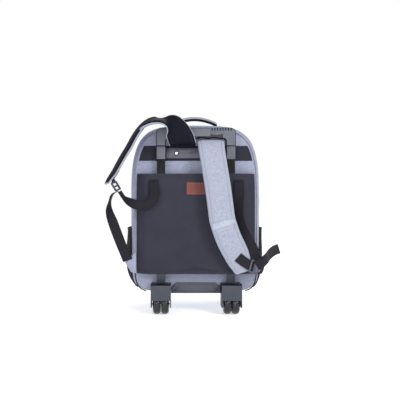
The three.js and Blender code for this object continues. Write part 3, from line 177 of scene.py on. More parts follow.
LOWER_WEBBING_LEFT = (
    (-1.258, 0.84, 0.6145, (0.3, 1, 0.17)),
    (-1.345, 0.82, 0.598, (0.15, 1, 0.05)),
    (-1.395, 0.77, 0.555, (0.1, 1, 0)),
    (-1.41, 0.69, 0.505, (0.5, 0.85, 0.1)),
    (-1.342, 0.5, 0.418, (0.9, 0.3, 0.3)),
    (-1.249, 0.3, 0.316, (0.95, 0, 0.3)),
    (-1.12, 0.15, 0.19, (0.95, 0, 0.35)),
)
STRAP_TAIL = (
    (0.96, 0.805, 0.17, (-0.15, 0, 1)),
    (1.05, 0.83, 0.19, (-0.15, 0, 1)),
    (1.12, 0.66, 0.207, (-0.2, 0, 1)),
    (1.2, 0.2, 0.226, (-0.2, 0, 1)),
    (1.32, -0.35, 0.245, (-0.25, 0.1, 1)),
    (1.43, -0.75, 0.252, (-0.3, 0.1, 1)),
)
LEFT_WING = ((-0.985, 0.246), (-1.167, 0.178), (-1.065, 0.119), (-0.985, 0.11))
RIGHT_WING = ((0.985, 0.21), (1.177, 0.195), (1.075, 0.127), (0.985, 0.11))


# Camera, floor and light

SENSOR, LENS, LENS_SHIFT = 36, 54, 0.070
EYE = (-0.060, -1.575, 0.284)
ROOM_LIGHT = 0.62
FLOOR_SIZE = 30
FLOOR_WHITE = (0.97, 0.97, 0.97, 1)
FLOOR_GLOW = 0.45
# Name, place, aim, size in metres, power in watts
LAMPS = (
    ("key", (1.2, -1.8, 1.4), (0, 0, 0.25), 0.8, 26),
    ("fill", (-1.3, -1.5, 0.7), (0, 0, 0.25), 1.0, 6),
    ("back", (0.3, 1.8, 1.4), (0, 0, 0.3), 1.4, 10),
    ("flash", (-0.06, -1.55, 0.4), (0, 0, 0.1), 0.1, 3),
)
# Socket numbers of the Map Range node and of the colour Mix node
FROM_LOW, FROM_HIGH, TO_LOW, TO_HIGH = 1, 2, 3, 4
MIX_FIRST, MIX_SECOND, MIX_RESULT = 6, 7, 2


def linked(name, data):
    """A new object in the scene with the given data"""
    made = bpy.data.objects.new(name, data)
    bpy.context.scene.collection.objects.link(made)
    return made


def camera():
    data = bpy.data.cameras.new("camera")
    data.sensor_width = SENSOR
    data.lens = LENS
    data.shift_x = LENS_SHIFT
    eye = linked("camera", data)
    eye.location = EYE
    eye.rotation_euler = (math.pi / 2, 0, 0)
    bpy.context.scene.camera = eye


def softbox(name, place, target, size, power):
    data = bpy.data.lights.new(name, "AREA")
    data.shape = "DISK"
    data.size = size
    data.energy = power
    lamp = linked(name, data)
    lamp.location = place
    lamp.rotation_euler = (Vector(target) - Vector(place)).to_track_quat("-Z", "Y").to_euler()


def studio():
    """Soft lamps in a white room that lights the bag less than it shows behind it"""
    world = bpy.data.worlds.new("studio")
    world.use_nodes = True
    nodes = world.node_tree.nodes
    links = world.node_tree.links
    seen = nodes.new("ShaderNodeLightPath")
    share = nodes.new("ShaderNodeMapRange")
    share.inputs[TO_LOW].default_value = ROOM_LIGHT
    share.inputs[TO_HIGH].default_value = 1.0
    links.new(seen.outputs["Is Camera Ray"], share.inputs["Value"])
    nodes["Background"].inputs["Color"].default_value = (1, 1, 1, 1)
    links.new(share.outputs[0], nodes["Background"].inputs["Strength"])
    bpy.context.scene.world = world
    for lamp in LAMPS:
        softbox(*lamp)
    bpy.context.scene.view_settings.view_transform = "Standard"


def floor():
    bpy.ops.object.select_all(action="DESELECT")
    bpy.ops.mesh.primitive_plane_add(size=FLOOR_SIZE, location=(0, 0, 0))
    ground = bpy.context.object
    ground.name = "floor"
    look = Look("pale_floor")
    grain = look.grain(3, 2, 0.5)
    ground.data.materials.append(look.done(
        Base_Color=look.tones(grain, FLOOR_WHITE, 1.0, 0.99), Roughness=0.9,
        Emission_Color=(1, 1, 1, 1), Emission_Strength=FLOOR_GLOW, Specular_IOR_Level=0.0))


# Shader maths

class Value:
    """A socket that takes part in sums: each sum adds a Math node"""

    def __init__(self, look, socket):
        self.look = look
        self.socket = socket

    def __add__(self, other):
        return self.look.math("ADD", self, other)

    __radd__ = __add__

    def __mul__(self, other):
        return self.look.math("MULTIPLY", self, other)

    __rmul__ = __mul__

    def __sub__(self, other):
        return self.look.math("SUBTRACT", self, other)

    def __rsub__(self, other):
        return self.look.math("SUBTRACT", other, self)

    def __pow__(self, other):
        return self.look.math("POWER", self, other)

    def __abs__(self):
        return self.look.math("ABSOLUTE", self)


class Look:
    """A material and the nodes that make it"""

    def __init__(self, name):
        self.material = bpy.data.materials.new(name)
        self.material.use_nodes = True
        self.tree = self.material.node_tree
        self.shader = self.tree.nodes["Principled BSDF"]

    def node(self, kind, settings=None, sockets=None):
        made = self.tree.nodes.new(kind)
        for key, value in (settings or {}).items():
            setattr(made, key, value)
        for key, value in (sockets or {}).items():
            self.feed(made.inputs[key], value)
        return made

    def feed(self, socket, value):
        if isinstance(value, Value):
            self.tree.links.new(value.socket, socket)
        else:
            socket.default_value = value

    def math(self, operation, *inputs):
        made = self.node("ShaderNodeMath", {"operation": operation}, dict(enumerate(inputs)))
        return Value(self, made.outputs[0])

    def held(self, value, low=0.0, high=1.0, rise=(0.0, 1.0)):
        """value from low..high, carried over to rise and held there"""
        sockets = {"Value": value, FROM_LOW: low, FROM_HIGH: high}
        sockets.update({TO_LOW: rise[0], TO_HIGH: rise[1]})
        made = self.node("ShaderNodeMapRange", {"clamp": True}, sockets)
        return Value(self, made.outputs[0])

    def point(self, source="Object", scale=(1, 1, 1)):
        coordinates = self.node("ShaderNodeTexCoord")
        sockets = {"Vector": Value(self, coordinates.outputs[source]), "Scale": scale}
        return Value(self, self.node("ShaderNodeMapping", None, sockets).outputs[0])

    def parts(self, vector):
        made = self.node("ShaderNodeSeparateXYZ", None, {0: vector})
        return [Value(self, made.outputs[i]) for i in range(3)]

    def noise(self, vector, scale, detail, roughness):
        sockets = {"Vector": vector, "Scale": scale, "Detail": detail, "Roughness": roughness}
        return Value(self, self.node("ShaderNodeTexNoise", None, sockets).outputs[0])

    def grain(self, scale, detail, roughness, source="Object"):
        return self.noise(self.point(source), scale, detail, roughness)

    def wave(self, number, pitch):
        """0 to 1 and back once a pitch, in the number's own unit"""
        return 0.5 + 0.5 * self.math("SINE", number * (2 * math.pi / pitch))

    def mix(self, factor, first, second):
        sockets = {"Factor": factor, MIX_FIRST: first, MIX_SECOND: second}
        made = self.node("ShaderNodeMix", {"data_type": "RGBA"}, sockets)
        return Value(self, made.outputs[MIX_RESULT])

    def tones(self, factor, colour, first, second):
        """A mix of two shares of one colour"""
        return self.mix(factor, shaded(colour, first), shaded(colour, second))

    def done(self, bump=None, **sockets):
        """Feeds the shader, adds the bump (height, strength, distance) and gives the material"""
        for key, value in sockets.items():
            self.feed(self.shader.inputs[key.replace("_", " ")], value)
        if bump:
            relief = dict(zip(("Height", "Strength", "Distance"), bump))
            made = self.node("ShaderNodeBump", None, relief)
            self.feed(self.shader.inputs["Normal"], Value(self, made.outputs[0]))
        return self.material


# Materials

STUDIO_SHARE = 0.8
GRIP_FINGER = 0.034
GRIP_SHADE_TOP = 0.4505
GRIP_SHADE_WAVE = 0.0035
GRIP_SHADE_HALF = 0.068
NYLON_PITCH = 0.0011
RIB_PITCH = 0.0016
CORD_PITCH = 0.0021
NET_PITCH = 0.003
LABEL_PITCH = 0.0009
CLOTH_SHINE = {"Sheen_Weight": 0.04, "Specular_IOR_Level": 0.2}


def rgb(red, green, blue):
    """A colour as it shows on a screen in this light, 0 to 255, as the shader wants it"""
    def straight(part):
        part /= 255
        part = part / 12.92 if part <= 0.04045 else ((part + 0.055) / 1.055) ** 2.4
        return STUDIO_SHARE * part
    return (straight(red), straight(green), straight(blue), 1)


def shaded(colour, share):
    return tuple(part * share for part in colour[:3]) + (1,)


def heather(name, colour, source="Object"):
    """Polyester woven from pale and dark threads"""
    look = Look(name)

    def streaks(on_body, on_strap, roughness=0.6):
        scale = on_body if source == "Object" else on_strap
        return look.noise(look.point(source, scale), 1, 3, roughness)

    weft = streaks((260, 260, 1700), (1700, 260, 1))
    warp = streaks((1700, 1700, 260), (260, 1700, 1))
    slub = streaks((120, 120, 640), (640, 120, 1), 0.7)
    cloud = look.grain(90, 4, 0.6, source)
    threads = look.held(0.32 * weft + 0.32 * warp + 0.36 * slub, 0.36, 0.64)
    tint = look.tones(threads, colour, 0.72, 1.24)
    tint = look.mix(look.held(cloud, 0.3, 0.7, (0.0, 0.14)), tint, shaded(colour, 0.8))
    return look.done((weft + warp, 0.35, 0.0004), Base_Color=tint, Sheen_Weight=0.08,
                     Sheen_Roughness=0.5, Specular_IOR_Level=0.12,
                     Roughness=look.held(threads, 0, 1, (0.92, 0.78)))


def nylon(name, colour, source="Object", sheen=0.04, shine=0.2):
    """Tight plain weave with a soft shine"""
    look = Look(name)
    spot = look.point(source)
    across, deep, up = look.parts(spot)
    along = up if source == "Object" else deep
    weave = look.wave(across, NYLON_PITCH) * look.wave(along, NYLON_PITCH)
    cloud = look.noise(spot, 22, 5, 0.6)
    creases = look.noise(look.point(source, (1, 1, 0.35)), 38, 6, 0.62)
    tint = look.tones(look.held(cloud, 0.3, 0.7), colour, 0.82, 1.22)
    tint = look.mix(0.25 * weave, tint, shaded(colour, 1.7))
    return look.done((0.25 * weave + creases, 0.3, 0.0012), Base_Color=tint, Sheen_Weight=sheen,
                     Sheen_Roughness=0.4, Specular_IOR_Level=shine,
                     Roughness=look.held(cloud + 0.3 * weave, 0.2, 0.9, (0.5, 0.68)))


def webbing(name, colour):
    """Ribbed polyester webbing, with its own map in metres: u across, v along"""
    look = Look(name)
    across, along, _ = look.parts(look.point("UV"))
    rib = look.wave(along, RIB_PITCH)
    cord = look.wave(across, CORD_PITCH)
    dust = look.noise(look.point("UV", (1, 0.4, 1)), 90, 4, 0.6)
    edge = look.held(abs(across), 0.0098, 0.0106)
    tint = look.tones(look.held(0.6 * rib + 0.4 * cord, 0.1, 0.9), colour, 0.7, 1.35)
    tint = look.mix(look.held(dust, 0.45, 0.8, (0, 0.25)), tint, shaded(colour, 1.7))
    tint = look.mix(0.5 * edge, tint, shaded(colour, 0.5))
    return look.done((0.7 * rib + 0.3 * cord, 0.5, 0.0005), Base_Color=tint, Sheen_Roughness=0.4,
                     Roughness=look.held(rib, 0, 1, (0.62, 0.82)), **CLOTH_SHINE)


def flat_cloth(name, colour, pitch=0.0012):
    """Close dark cloth for bands, patches and bindings"""
    look = Look(name)
    across, deep, up = look.parts(look.point())
    rib = look.wave(up + 0.3 * deep, pitch)
    twill = look.wave(across + up, pitch * 1.7)
    dust = look.grain(70, 5, 0.6)
    tint = look.tones(look.held(0.6 * rib + 0.4 * twill, 0.1, 0.9), colour, 0.72, 1.3)
    tint = look.mix(look.held(dust, 0.4, 0.8, (0, 0.4)), tint, shaded(colour, 1.7))
    return look.done((rib + 0.5 * twill, 0.35, 0.0004), Base_Color=tint,
                     Roughness=look.held(dust, 0.3, 0.7, (0.68, 0.85)), **CLOTH_SHINE)


def net(name, colour):
    """Knitted mesh with small round holes, on the piece's own map in metres"""
    look = Look(name)
    across, along, _ = look.parts(look.point("UV"))
    cells = look.wave(across, NET_PITCH) * look.wave(along, NET_PITCH)
    hole = look.held(cells, 0.5, 0.62)
    dust = look.grain(300, 3, 0.5, "UV")
    return look.done((1 - cells, 0.5, 0.0006), Base_Color=look.tones(dust, colour, 0.7, 1.6),
                     Alpha=1 - 0.8 * hole, Specular_IOR_Level=0.25,
                     Roughness=look.held(dust, 0, 1, (0.7, 0.9)))


def moulded(name, colour, shine=0.42, grain=0.25, low_tint=None, gloss=0.4, rivet_shade=None):
    """Spark-textured plastic with faint scuffs. low_tint=(height, colour) paints what is below
    a height; the last argument, (offset, height, radius), paints shade as a dark disc in the recess
    round the rivet on each side"""
    look = Look(name)
    fine = look.grain(1500, 3, 0.6)
    cloud = look.grain(30, 5, 0.6)
    scuffs = look.noise(look.point("Object", (40, 40, 420)), 1, 6, 0.75)
    worn = look.held(scuffs, 0.62, 0.74)
    tint = look.tones(look.held(cloud, 0.3, 0.7), colour, 0.88, 1.12)
    tint = look.mix(0.22 * worn, tint, shaded(colour, 2.0))
    if low_tint or rivet_shade:
        across, _, up = look.parts(look.point())
    if low_tint:
        height, paint = low_tint
        tint = look.mix(look.held(up, height, height + 0.0005, (1, 0)), tint, paint)
    # Painted shade: a dark disc round each rivet, where its recess lies in shadow
    if rivet_shade:
        offset, height, reach = rivet_shade
        aside = abs(across) - offset
        away = (aside * aside + (up - height) * (up - height)) ** 0.5
        tint = look.mix(0.85 * look.held(away, reach - 0.0008, reach, (1, 0)), tint, BLACK_PLASTIC_AND_SHADE)
    rough = 0.6 * fine + 0.4 * cloud + 0.2 * worn
    return look.done((fine, grain, 0.0002), Base_Color=tint, Specular_IOR_Level=gloss,
                     Roughness=look.held(rough, 0.3, 0.8, (shine - 0.07, shine + 0.12)))


def grip_plastic(name, colour, under):
    """Soft-touch grip: the pale front face ends below in finger scallops painted black as shade"""
    look = Look(name)
    across, _, up = look.parts(look.point())
    fine = look.grain(1500, 3, 0.6)
    cloud = look.grain(30, 5, 0.6)
    tint = look.tones(look.held(cloud, 0.3, 0.7), colour, 0.9, 1.1)
    # Painted shade under the grip: black below a scalloped line near the foot of the front face
    scallop = abs(look.math("SINE", across * (math.pi / GRIP_FINGER)))
    edge = GRIP_SHADE_TOP - GRIP_SHADE_WAVE * scallop
    below = look.held(edge - up, 0.0, 0.0004)
    inside = look.held(abs(across), GRIP_SHADE_HALF - 0.0004, GRIP_SHADE_HALF, (1, 0))
    return look.done((fine, 0.25, 0.0002), Base_Color=look.mix(below * inside, tint, under),
                     Roughness=look.held(0.6 * fine + 0.4 * cloud, 0.3, 0.8, (0.36, 0.52)))


def smooth_rubber(name, colour):
    """Glossy cast tyre with rolling dust"""
    look = Look(name)
    dust = look.grain(120, 5, 0.65)
    film = look.held(dust, 0.5, 0.75, (0, 0.2))
    return look.done((dust, 0.06, 0.0005), Base_Color=look.tones(film, colour, 1.0, 2.2),
                     Roughness=look.held(dust, 0.3, 0.75, (0.16, 0.34)))


def metal(name, colour, shine):
    look = Look(name)
    brushed = look.noise(look.point("Object", (1400, 200, 200)), 1, 4, 0.6)
    return look.done((brushed, 0.08, 0.0002), Base_Color=look.tones(brushed, colour, 0.85, 1.0),
                     Roughness=look.held(brushed, 0.3, 0.7, (shine, shine + 0.14)), Metallic=1.0)


def woven_label(name, colour, lines):
    """Dense satin label: fine ribs, a paler border woven in"""
    look = Look(name)
    across, along, _ = look.parts(look.point("UV"))
    rib = look.wave(along, LABEL_PITCH)
    side = abs(across)
    end = abs(along)

    def beyond(half_width, half_height):
        """1 outside the rectangle, 0 inside it"""
        return look.math("MAXIMUM", look.held(side, half_width, half_width + 0.0004),
                         look.held(end, half_height, half_height + 0.0004))

    border = beyond(0.0203, 0.0123) - beyond(0.0213, 0.0133)
    fade = look.grain(260, 4, 0.6, "UV")
    tint = look.tones(rib, colour, 0.8, 1.15)
    tint = look.mix(look.held(fade, 0.35, 0.75, (0, 0.35)), tint, shaded(colour, 0.6))
    tint = look.mix(0.75 * border, tint, lines)
    return look.done((rib + border, 0.4, 0.0003), Base_Color=tint, Sheen_Weight=0.15,
                     Roughness=look.held(rib, 0, 1, (0.55, 0.75)))


def glass_bead(name, colour):
    """Pale reflective tape: tiny beads in a smooth film"""
    look = Look(name)
    beads = look.grain(2600, 1, 0.5)
    cloud = look.grain(80, 4, 0.6)
    return look.done((beads, 0.3, 0.0002),
                     Base_Color=look.tones(look.held(cloud, 0.3, 0.7), colour, 0.9, 1.1),
                     Roughness=look.held(beads, 0.3, 0.7, (0.3, 0.5)),
                     Coat_Weight=look.held(beads, 0.4, 0.6, (0.1, 0.4)))


def thread(name, colour):
    look = Look(name)
    twist = look.grain(2400, 2, 0.5)
    return look.done(Base_Color=look.tones(twist, colour, 0.7, 1.25),
                     Roughness=look.held(twist, 0, 1, (0.5, 0.8)))


# Black of the zip teeth, also used as painted shade on the sides of hard pieces, under the grip and
# round the rivets
BLACK_PLASTIC_AND_SHADE = rgb(18, 18, 24)

MADE = {
    "body cloth": heather("body_heather", rgb(164, 169, 193)),
    "strap cloth": heather("strap_heather", rgb(170, 175, 193), "UV"),
    "panel nylon": nylon("panel_nylon", rgb(46, 46, 60)),
    "strap lining": nylon("strap_lining", rgb(24, 24, 34), "UV", 0, 0.05),
    "webbing": webbing("black_webbing", rgb(31, 29, 38)),
    "band": flat_cloth("back_band_cloth", rgb(40, 42, 53)),
    "trim": flat_cloth("black_trim", rgb(32, 32, 38)),
    "net": net("black_mesh", rgb(26, 26, 31)),
    "pale cord": flat_cloth("pale_piping", rgb(158, 163, 182), 0.0008),
    "grey cord": flat_cloth("grey_piping", rgb(146, 150, 168), 0.0008),
    "grip": grip_plastic("grip_plastic", rgb(94, 98, 110), BLACK_PLASTIC_AND_SHADE),
    "plate": moulded("plate_plastic", rgb(108, 112, 124), 0.34, 0.12),
    "collar": moulded("collar_plastic", rgb(95, 97, 110)),
    "bracket": moulded("bracket_plastic", rgb(86, 88, 102), rivet_shade=(0.049, 0.402, 0.0068)),
    "dark plastic": moulded("housing_plastic", rgb(62, 67, 79)),
    "base": moulded("base_plastic", rgb(72, 74, 87)),
    "black plastic and side shade": moulded("black_plastic_and_side_shade", BLACK_PLASTIC_AND_SHADE, gloss=0.2),
    "buckle": moulded("buckle_plastic", rgb(78, 80, 92), 0.36),
    "tube": moulded("coated_tube", rgb(14, 15, 18), 0.26, 0.08, (0.1, rgb(66, 71, 83)), 0.25),
    "tyre": smooth_rubber("tyre_rubber", rgb(26, 26, 33)),
    "steel": metal("bright_steel", (0.9, 0.9, 0.92, 1), 0.3),
    "label": woven_label("terracotta_label", rgb(122, 62, 56), rgb(168, 98, 78)),
    "reflective": glass_bead("reflective_tape", rgb(172, 181, 198)),
    "dark thread": thread("dark_thread", rgb(30, 30, 36)),
    "grey thread": thread("grey_thread", rgb(138, 143, 162)),
}


# Helpers for rows of numbers

def unit(vectors):
    return vectors / np.linalg.norm(vectors, axis=1)[:, None]


def run_of(points):
    """Length along a line of points, at each point"""
    return np.concatenate([[0], np.cumsum(np.linalg.norm(np.diff(points, axis=0), axis=1))])


def read_at(at, where, table):
    """Each column of a table whose rows stand at where, read at the places at"""
    return np.array([np.interp(at, where, column) for column in np.asarray(table).T]).T.copy()


def columns(x, y, z):
    """Points from their coordinates; a single number serves them all"""
    return np.column_stack(np.broadcast_arrays(x, y, z))


def relax(values, times):
    """Evens a row of values out in place; its two ends stay"""
    for _ in range(times):
        values[1:-1] = (values[:-2] + 2 * values[1:-1] + values[2:]) / 4


def soft_average(values, width):
    """Moving average with soft ends, width entries wide"""
    weights = np.hanning(width) / np.hanning(width).sum()
    return np.convolve(np.pad(values, width // 2, "edge"), weights, "valid")


def squared(part, power):
    """A sine or cosine drawn towards the outline of a square"""
    return np.sign(part) * np.abs(part) ** power


def station(share, count):
    return np.rint(share * count).astype(int)


def ripple(points, wave_length, seed):
    """Soft noise from -1 to 1 at each point, wave_length in millimetres along each axis"""
    scale = np.array(wave_length, float)
    return np.array([noise.noise(Vector(p / scale) + Vector((seed, seed, seed))) for p in points])


def softness(points, layers):
    """Layers of soft noise: strength, wave length along each axis, seed"""
    return sum(strength * ripple(points, length, seed) for strength, length, seed in layers)


# Making and shaping meshes

def only(piece):
    bpy.ops.object.select_all(action="DESELECT")
    piece.select_set(True)
    bpy.context.view_layer.objects.active = piece


def editing(piece, *steps):
    """Runs each step on the whole piece in edit mode"""
    only(piece)
    bpy.ops.object.mode_set(mode="EDIT")
    bpy.ops.mesh.select_all(action="SELECT")
    for step in steps:
        step()
    bpy.ops.object.mode_set(mode="OBJECT")


def merge_points(reach=1e-5):
    return lambda: bpy.ops.mesh.remove_doubles(threshold=reach)


def face_out():
    bpy.ops.mesh.normals_make_consistent(inside=False)


def close_ends():
    bpy.ops.mesh.select_all(action="DESELECT")
    bpy.ops.mesh.select_non_manifold()
    bpy.ops.mesh.fill_holes(sides=0)


def points_of(piece):
    flat = np.empty(len(piece.data.vertices) * 3)
    piece.data.vertices.foreach_get("co", flat)
    return flat.reshape(-1, 3)


def put_points(piece, points):
    piece.data.vertices.foreach_set("co", np.ascontiguousarray(points).ravel())
    piece.data.update()


def placed(points):
    """Bag millimetres to scene metres"""
    moved = np.array(points, float)
    moved[:, 1] += BACK_PLANE
    return moved * MM


def applied(piece, kind, **settings):
    only(piece)
    modifier = piece.modifiers.new(kind.lower(), kind)
    for key, value in settings.items():
        setattr(modifier, key, value)
    bpy.ops.object.modifier_apply(modifier=modifier.name)
    return piece


def smooth(piece, angle=40):
    only(piece)
    bpy.ops.object.shade_smooth_by_angle(angle=math.radians(angle))
    return piece


def thickened(piece, thickness, offset=-1):
    """Cloth of the given thickness in millimetres, inwards or to both sides"""
    applied(piece, "SOLIDIFY", thickness=thickness * MM, offset=offset)
    return smooth(piece, 50)


def banded(piece, thickness, bevel=0.4, angle=40):
    """A band with its thickness to both sides and rounded edges, in millimetres"""
    applied(piece, "SOLIDIFY", thickness=thickness * MM, offset=0)
    editing(piece, face_out)
    if bevel:
        applied(piece, "BEVEL", width=bevel * MM, segments=2, limit_method="ANGLE")
    return smooth(piece, angle)


def closed_round(piece):
    """Closes the ends of a padded tube and shades it softly"""
    editing(piece, close_ends)
    editing(piece, face_out)
    smooth(piece, 60)


def face_back(piece):
    """Turns an open cloth so that its faces look out of the bag's back"""
    editing(piece, face_out)
    if sum(face.normal.y for face in piece.data.polygons) > 0:
        editing(piece, bpy.ops.mesh.flip_normals)


def surface(name, across, along, place, flat=(1.0, 1.0), wrap=False):
    """A grid of across x along faces moved onto place(u, v); flat gives its map's size in metres"""
    bpy.ops.object.select_all(action="DESELECT")
    bpy.ops.mesh.primitive_grid_add(x_subdivisions=across, y_subdivisions=along, size=2)
    piece = bpy.context.object
    piece.name = name
    piece.data.name = name
    share = (points_of(piece)[:, :2] + 1) / 2
    put_points(piece, placed(place(share[:, 0], share[:, 1])))
    layer = piece.data.uv_layers[0].data
    uv = np.empty(len(layer) * 2)
    layer.foreach_get("uv", uv)
    uv = (uv.reshape(-1, 2) - 0.5) * np.array(flat)
    layer.foreach_set("uv", uv.ravel())
    if wrap:
        editing(piece, merge_points())
    return piece


def dressed(piece, nodes, slot, *materials, body="bag"):
    """Gives a piece its finish, its body and the solids that it stands for"""
    for material in materials:
        piece.data.materials.append(MADE[material])
    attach(piece, body)
    if nodes:
        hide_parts(*nodes)
    return piece


def faces_to(piece, choose):
    """Sets each face's material by choose(centre, normal)"""
    for face in piece.data.polygons:
        face.material_index = choose(face.center, face.normal)


# Outline of the bag

OUTLINE_STEPS = 4000
FINE = np.linspace(0, 1, 401)
SOFT_SWELL = soft_average(np.interp(FINE, SWELL_DEPTHS, SWELLS), 27)
SWELL_START = 3.0


def swell_at(y):
    eased = np.interp(np.asarray(y) / BAG_DEPTH, FINE, SOFT_SWELL)
    return eased * np.clip(np.asarray(y) / SWELL_START, 0, 1)


def half_width_at(y):
    return HALF_WIDTH + SIDE_SWELL * swell_at(y)


def top_at(y):
    return BAG_FLOOR + BAG_HEIGHT + TOP_SWELL * swell_at(y)


def bag_point(angle, y, inset=0.0):
    above = np.sin(angle) >= 0
    power = np.where(above, 2 / TOP_SQUARENESS, 2 / FOOT_SQUARENESS)
    half_height = np.where(above, top_at(y) - BAG_MIDDLE, BAG_MIDDLE - BAG_FLOOR) - inset
    x = (half_width_at(y) - inset) * squared(np.cos(angle), power)
    return x, BAG_MIDDLE + half_height * squared(np.sin(angle), power)


def even_angles(count, start=0.0, end=2 * math.pi):
    """Angles that part the outline between start and end into equal lengths"""
    angles = np.linspace(start, end, OUTLINE_STEPS + 1)
    length = run_of(np.column_stack(bag_point(angles, 0.0)))
    return np.interp(np.linspace(0, length[-1], count + 1), length, angles)


def side_at(y, z):
    z = np.asarray(z, float)
    above = z >= BAG_MIDDLE
    power = np.where(above, TOP_SQUARENESS, FOOT_SQUARENESS)
    half_height = np.where(above, top_at(y) - BAG_MIDDLE, BAG_MIDDLE - BAG_FLOOR)
    share = np.minimum(np.abs(z - BAG_MIDDLE) / half_height, 1)
    return half_width_at(y) * (1 - share ** power) ** (1 / power)


def top_surface_at(x, y):
    share = np.minimum(np.abs(x) / half_width_at(y), 1)
    rise = (1 - share ** TOP_SQUARENESS) ** (1 / TOP_SQUARENESS)
    return BAG_MIDDLE + (top_at(y) - BAG_MIDDLE) * rise


# Cloth body

BODY_AROUND = 260
SEAM_PUCKER = 9.0
PUCKERS = 90
BAG_SOFTNESS = ((0.9, (70, 45, 55), 3.1), (0.5, (26, 18, 22), 7.7))
FLAT_CREASE = 0.35
MIDDLE_REACH = 0.012
CAP_SIZES = [0.02, 0.15, 0.3, 0.45, 0.6, 0.72, 0.82, 0.9, 0.95, 0.975, 0.99]


def close_small_hole():
    """Closes the pinhole in the middle of a face, and leaves the wide mouth open"""
    bpy.ops.mesh.select_all(action="DESELECT")
    bpy.ops.object.mode_set(mode="OBJECT")
    for vertex in bpy.context.object.data.vertices:
        if max(abs(vertex.co.x), abs(vertex.co.z - BAG_MIDDLE * MM)) < MIDDLE_REACH:
            vertex.select = True
    bpy.ops.object.mode_set(mode="EDIT")
    bpy.ops.mesh.select_mode(type="VERT")
    bpy.ops.mesh.edge_face_add()


def bag_surface(name, node, depths, sizes, crumple):
    """Rings of the bag's outline at the given depths, each a share of the outline's size,
    crumpled softly, puckered at the seams and given the cloth's thickness"""
    angles = even_angles(BODY_AROUND)
    count = len(depths) - 1

    def place(u, v):
        ring = station(v, count)
        y = np.asarray(depths)[ring]
        size = np.asarray(sizes)[ring]
        x, z = bag_point(angles[station(u, BODY_AROUND) % BODY_AROUND], y)
        return columns(x * size, y, BAG_MIDDLE + (z - BAG_MIDDLE) * size)

    piece = surface(name, BODY_AROUND, count, place, wrap=True)
    editing(piece, merge_points(2e-5), face_out)
    points = points_of(piece)
    normals = np.empty(len(points) * 3)
    piece.data.vertex_normals.foreach_get("vector", normals)
    normals = normals.reshape(-1, 3)
    mm = points / MM
    soft = softness(mm, BAG_SOFTNESS)
    local = mm[:, 1] - BACK_PLANE
    zip_seams = np.minimum(np.abs(local - ZIP_START), np.abs(local - ZIP_START - ZIP_WIDTH))
    near = np.exp(-(np.minimum(local, zip_seams) / SEAM_PUCKER) ** 2)
    around = np.arctan2(mm[:, 2] - BAG_MIDDLE, mm[:, 0])
    pucker = near * 0.35 * np.sin(around * PUCKERS + 3 * ripple(mm, (40, 40, 40), 1.3))
    shift = (crumple * soft - 0.6 * crumple + pucker) * np.clip(local / 4, 0, 1)
    flat_back = (np.abs(normals[:, 1]) > 0.9) & (local < 2)
    shift[flat_back] = -FLAT_CREASE * (1 + ripple(mm[flat_back], (60, 60, 38), 5.0))
    put_points(piece, points + normals * shift[:, None] * MM)
    editing(piece, close_small_hole)
    thickened(piece, CLOTH)
    return dressed(piece, [node], "heather", "body cloth")


def back_body():
    near = [0, 1.0, 2.2]
    depths = [0.0] * len(CAP_SIZES) + near + list(np.linspace(4, ZIP_START - 2, 44)) + [ZIP_START]
    sizes = CAP_SIZES + [1.0] * (len(depths) - len(CAP_SIZES))
    bag_surface("bag_back_cloth", "back_shell", depths, sizes, 0.7)


def front_body():
    start = ZIP_START + ZIP_WIDTH + 2 * FIT
    sides = list(np.linspace(start, BAG_DEPTH - 3, 18)) + [BAG_DEPTH - 1.2, BAG_DEPTH]
    rounded = 1 - np.linspace(0, 1, 26)[1:] ** 1.35
    bulge = soft_average(np.interp(-rounded, -np.array(FRONT_SIZES), FRONT_BULGES), 5)
    sizes = [1.0] * len(sides) + [max(size, 0.02) for size in rounded]
    depths = sides + list(BAG_DEPTH + FRONT_SWELL * bulge)
    bag_surface("bag_front_cloth", "front_shell", depths, sizes, 0.6)


# Cords along the outline

# The outline is cut into 36 steps; the two trims cover the bottom corners
OUTLINE_STEP = 2 * math.pi / 36
TRIM_END = 1.02 * OUTLINE_STEP
TRIM_START = 7 * OUTLINE_STEP
PIPING_END = 0.98 * OUTLINE_STEP


def cord(name, points, radius):
    """A round cord through the given points, as a mesh"""
    curve = bpy.data.curves.new(name, "CURVE")
    curve.dimensions = "3D"
    spline = curve.splines.new("POLY")
    spline.points.add(len(points) - 1)
    for spot, place in zip(spline.points, placed(points)):
        spot.co = (*place, 1)
    curve.bevel_depth = radius * MM
    curve.bevel_resolution = 3
    curve.use_fill_caps = True
    only(linked(name, curve))
    bpy.ops.object.convert(target="MESH")
    piece = bpy.context.object
    editing(piece, merge_points(), face_out)
    return smooth(piece, 50)


def outline_cord(name, start, end, count):
    """A cord that lies against the outline's back edge from one angle to another"""
    angles = even_angles(count, start, end)
    x, z = bag_point(angles, 0.0, -PIPING_RADIUS - FIT)
    return cord(name, columns(x, PIPING_BACK - PIPING_RADIUS, z), PIPING_RADIUS)


def seam_cords():
    piping = outline_cord("back_piping", -PIPING_END, math.pi + PIPING_END, 240)
    dressed(piping, ["seam_piping"], "piping", "grey cord")
    for side, start, end in (("right", -TRIM_START, -TRIM_END),
                             ("left", math.pi + TRIM_END, math.pi + TRIM_START)):
        trim = outline_cord(f"corner_trim_{side}", start, end, 90)
        dressed(trim, [f"corner_binding_{side}"], "webbing", "trim")


# Zip

ZIP_TEETH = 560
ZIP_ROWS = 8
ZIP_THICKNESS = 1.6
TOOTH_SIZE = (1.3, 4.2, 0.8)
BLOCK_FACES = ((0, 1, 3, 2), (4, 6, 7, 5), (0, 4, 5, 1), (2, 3, 7, 6), (0, 2, 6, 4), (1, 5, 7, 3))


